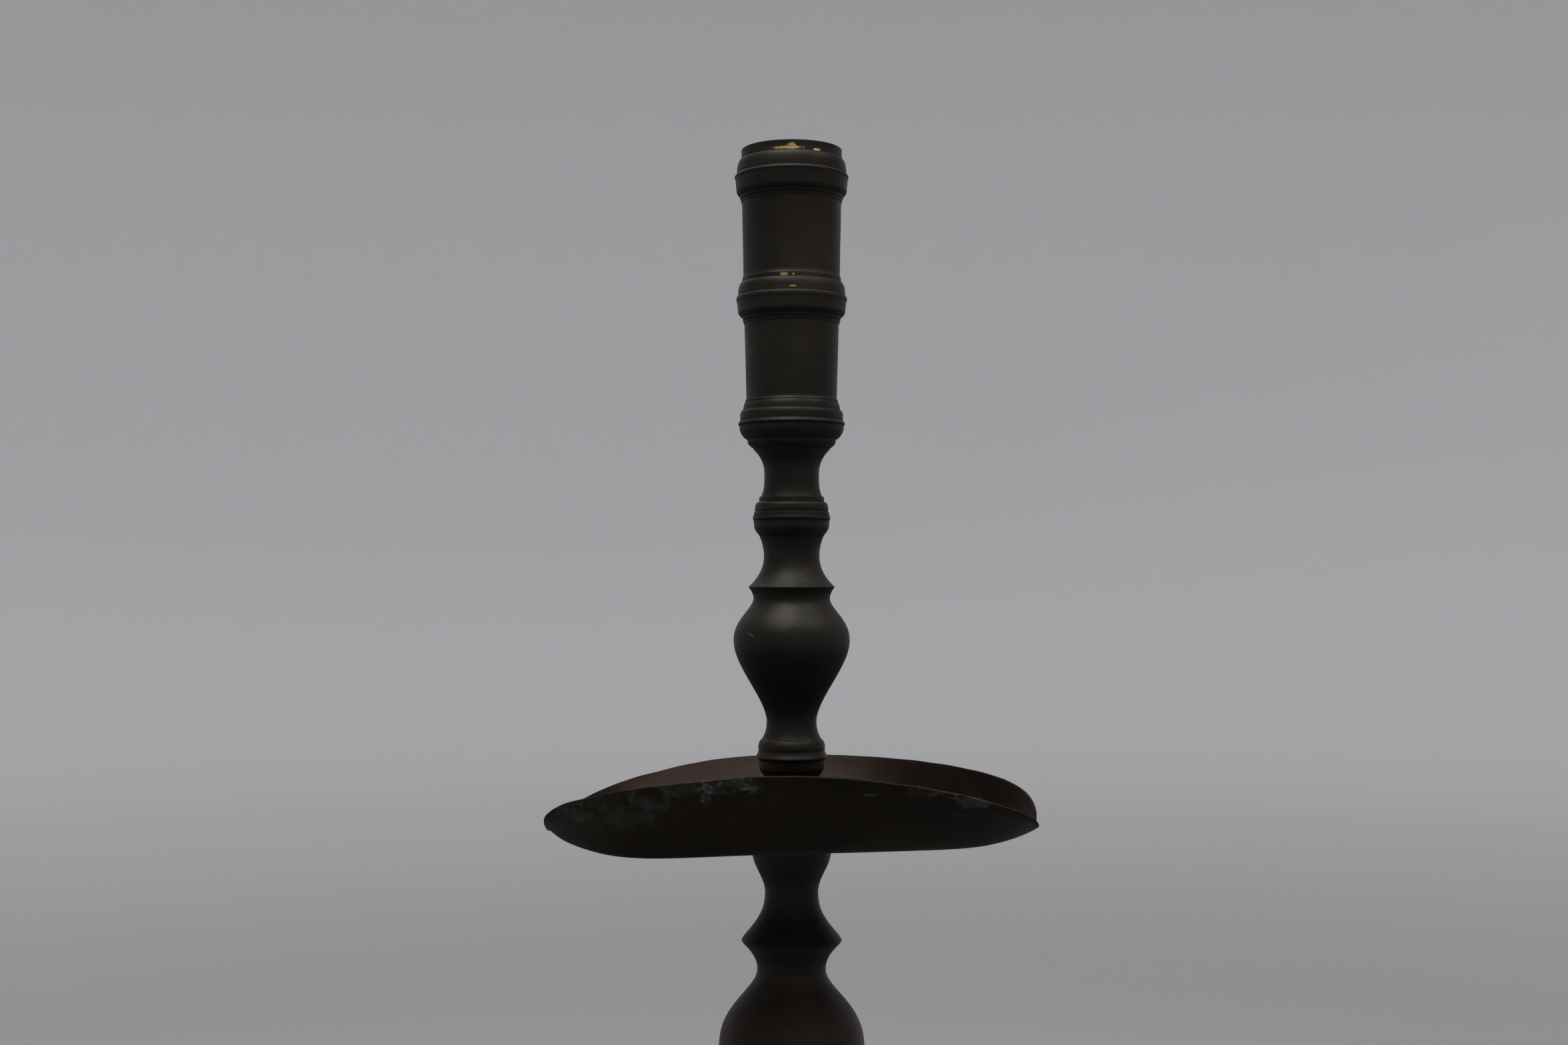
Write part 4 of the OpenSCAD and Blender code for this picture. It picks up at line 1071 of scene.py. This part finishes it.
turnedRod("lower_rod", "lowerRod", "root", [
    (rods["rodRoot"] - rods["chamfer"], lowerLow),
    (rods["rodRoot"], lowerLow + rods["chamfer"]),
    (rods["rodRoot"], lowerThread),
    (rods["rodRadius"], lowerThread + 0.0002),
    (rods["rodRadius"], lowerHigh),
], [lowerRidge])
print("iron work made")


# floor and backdrop: one pale sweep round the object, far enough for every view
stageSettings = {
    "floor": cadLow.z,
    "flat": 2.6,
    "round": 0.9,
    "high": 2.6,
    "floorColor": (0.30, 0.30, 0.30, 1),
    "wallColor": (0.72, 0.72, 0.735, 1),
    "fadeFrom": 0.9,
    "fadeTo": 3.4,
}


def makeStage():
    bpy.ops.object.select_all(action="DESELECT")
    bpy.ops.mesh.primitive_circle_add(vertices=96, radius=stageSettings["flat"], fill_type="NGON",
                                      location=(0, 0, stageSettings["floor"] - 0.0002))
    sweep = bpy.context.object
    sweep.name = "paleSweep"
    bpy.ops.object.transform_apply(location=True, rotation=True, scale=True)
    bpy.ops.object.mode_set(mode="EDIT")
    bpy.ops.mesh.select_all(action="SELECT")
    bpy.ops.mesh.select_mode(type="EDGE")
    bpy.ops.mesh.region_to_loop()
    last = stageSettings["flat"]
    for step in range(1, 9):
        angle = math.radians(90 * step / 8)
        reach = stageSettings["flat"] + stageSettings["round"] * math.sin(angle)
        rise = stageSettings["round"] * (math.cos(math.radians(90 * (step - 1) / 8)) - math.cos(angle))
        bpy.ops.mesh.extrude_edges_move(TRANSFORM_OT_translate={"value": (0, 0, rise)})
        bpy.ops.transform.resize(value=(reach / last, reach / last, 1), center_override=(0, 0, 0))
        last = reach
    bpy.ops.mesh.extrude_edges_move(TRANSFORM_OT_translate={"value": (0, 0, stageSettings["high"])})
    bpy.ops.object.mode_set(mode="OBJECT")
    bpy.ops.object.shade_smooth_by_angle(angle=math.radians(40))
    material, tree, shader, vector = newMaterial("palePlaster")
    flat = addNode(tree, "ShaderNodeVectorMath", {"operation": "LENGTH"}, {0: vector})
    fade = ramp(tree, flat.outputs["Value"], stageSettings["fadeFrom"], stageSettings["fadeTo"])
    color = mixColor(tree, fade, stageSettings["floorColor"], stageSettings["wallColor"])
    tree.links.new(color, shader.inputs["Base Color"])
    shader.inputs["Roughness"].default_value = 0.85
    shader.inputs["Specular IOR Level"].default_value = 0.2
    sweep.data.materials.append(material)


makeStage()

# soft light from above and in front, as in a hall with high windows, and a weak fill
lamps = {
    "above": {"place": (-0.30, -0.55, 2.4), "aim": (0, 0, 0.3),
              "size": 1.3, "power": 44},
    "right": {"place": (1.2, -0.5, 2.2), "aim": (0, 0, 0.35),
              "size": 1.0, "power": 12},
    "front": {"place": (0.6, -2.2, 1.5), "aim": (0, 0, 0.4),
              "size": 1.4, "power": 2},
    "behind": {"place": (-0.4, 1.7, 2.2), "aim": (0, 0, 0.4),
              "size": 1.4, "power": 9},
}
for name in lamps:
    lamp = lamps[name]
    data = bpy.data.lights.new(name + "Lamp", "AREA")
    data.shape = "SQUARE"
    data.size = lamp["size"]
    data.energy = lamp["power"]
    holder = bpy.data.objects.new(name + "Lamp", data)
    holder.location = lamp["place"]
    direction = Vector(lamp["aim"]) - Vector(lamp["place"])
    holder.rotation_euler = direction.to_track_quat("-Z", "Y").to_euler()
    bpy.context.scene.collection.objects.link(holder)

roomLight = {"color": (0.80, 0.81, 0.83, 1), "strength": 0.32}
world = bpy.data.worlds.new("paleRoom")
bpy.context.scene.world = world
world.use_nodes = True
background = world.node_tree.nodes["Background"]
background.inputs["Color"].default_value = roomLight["color"]
background.inputs["Strength"].default_value = roomLight["strength"]
bpy.context.scene.view_settings.view_transform = "Standard"
print("lamps and stage set")
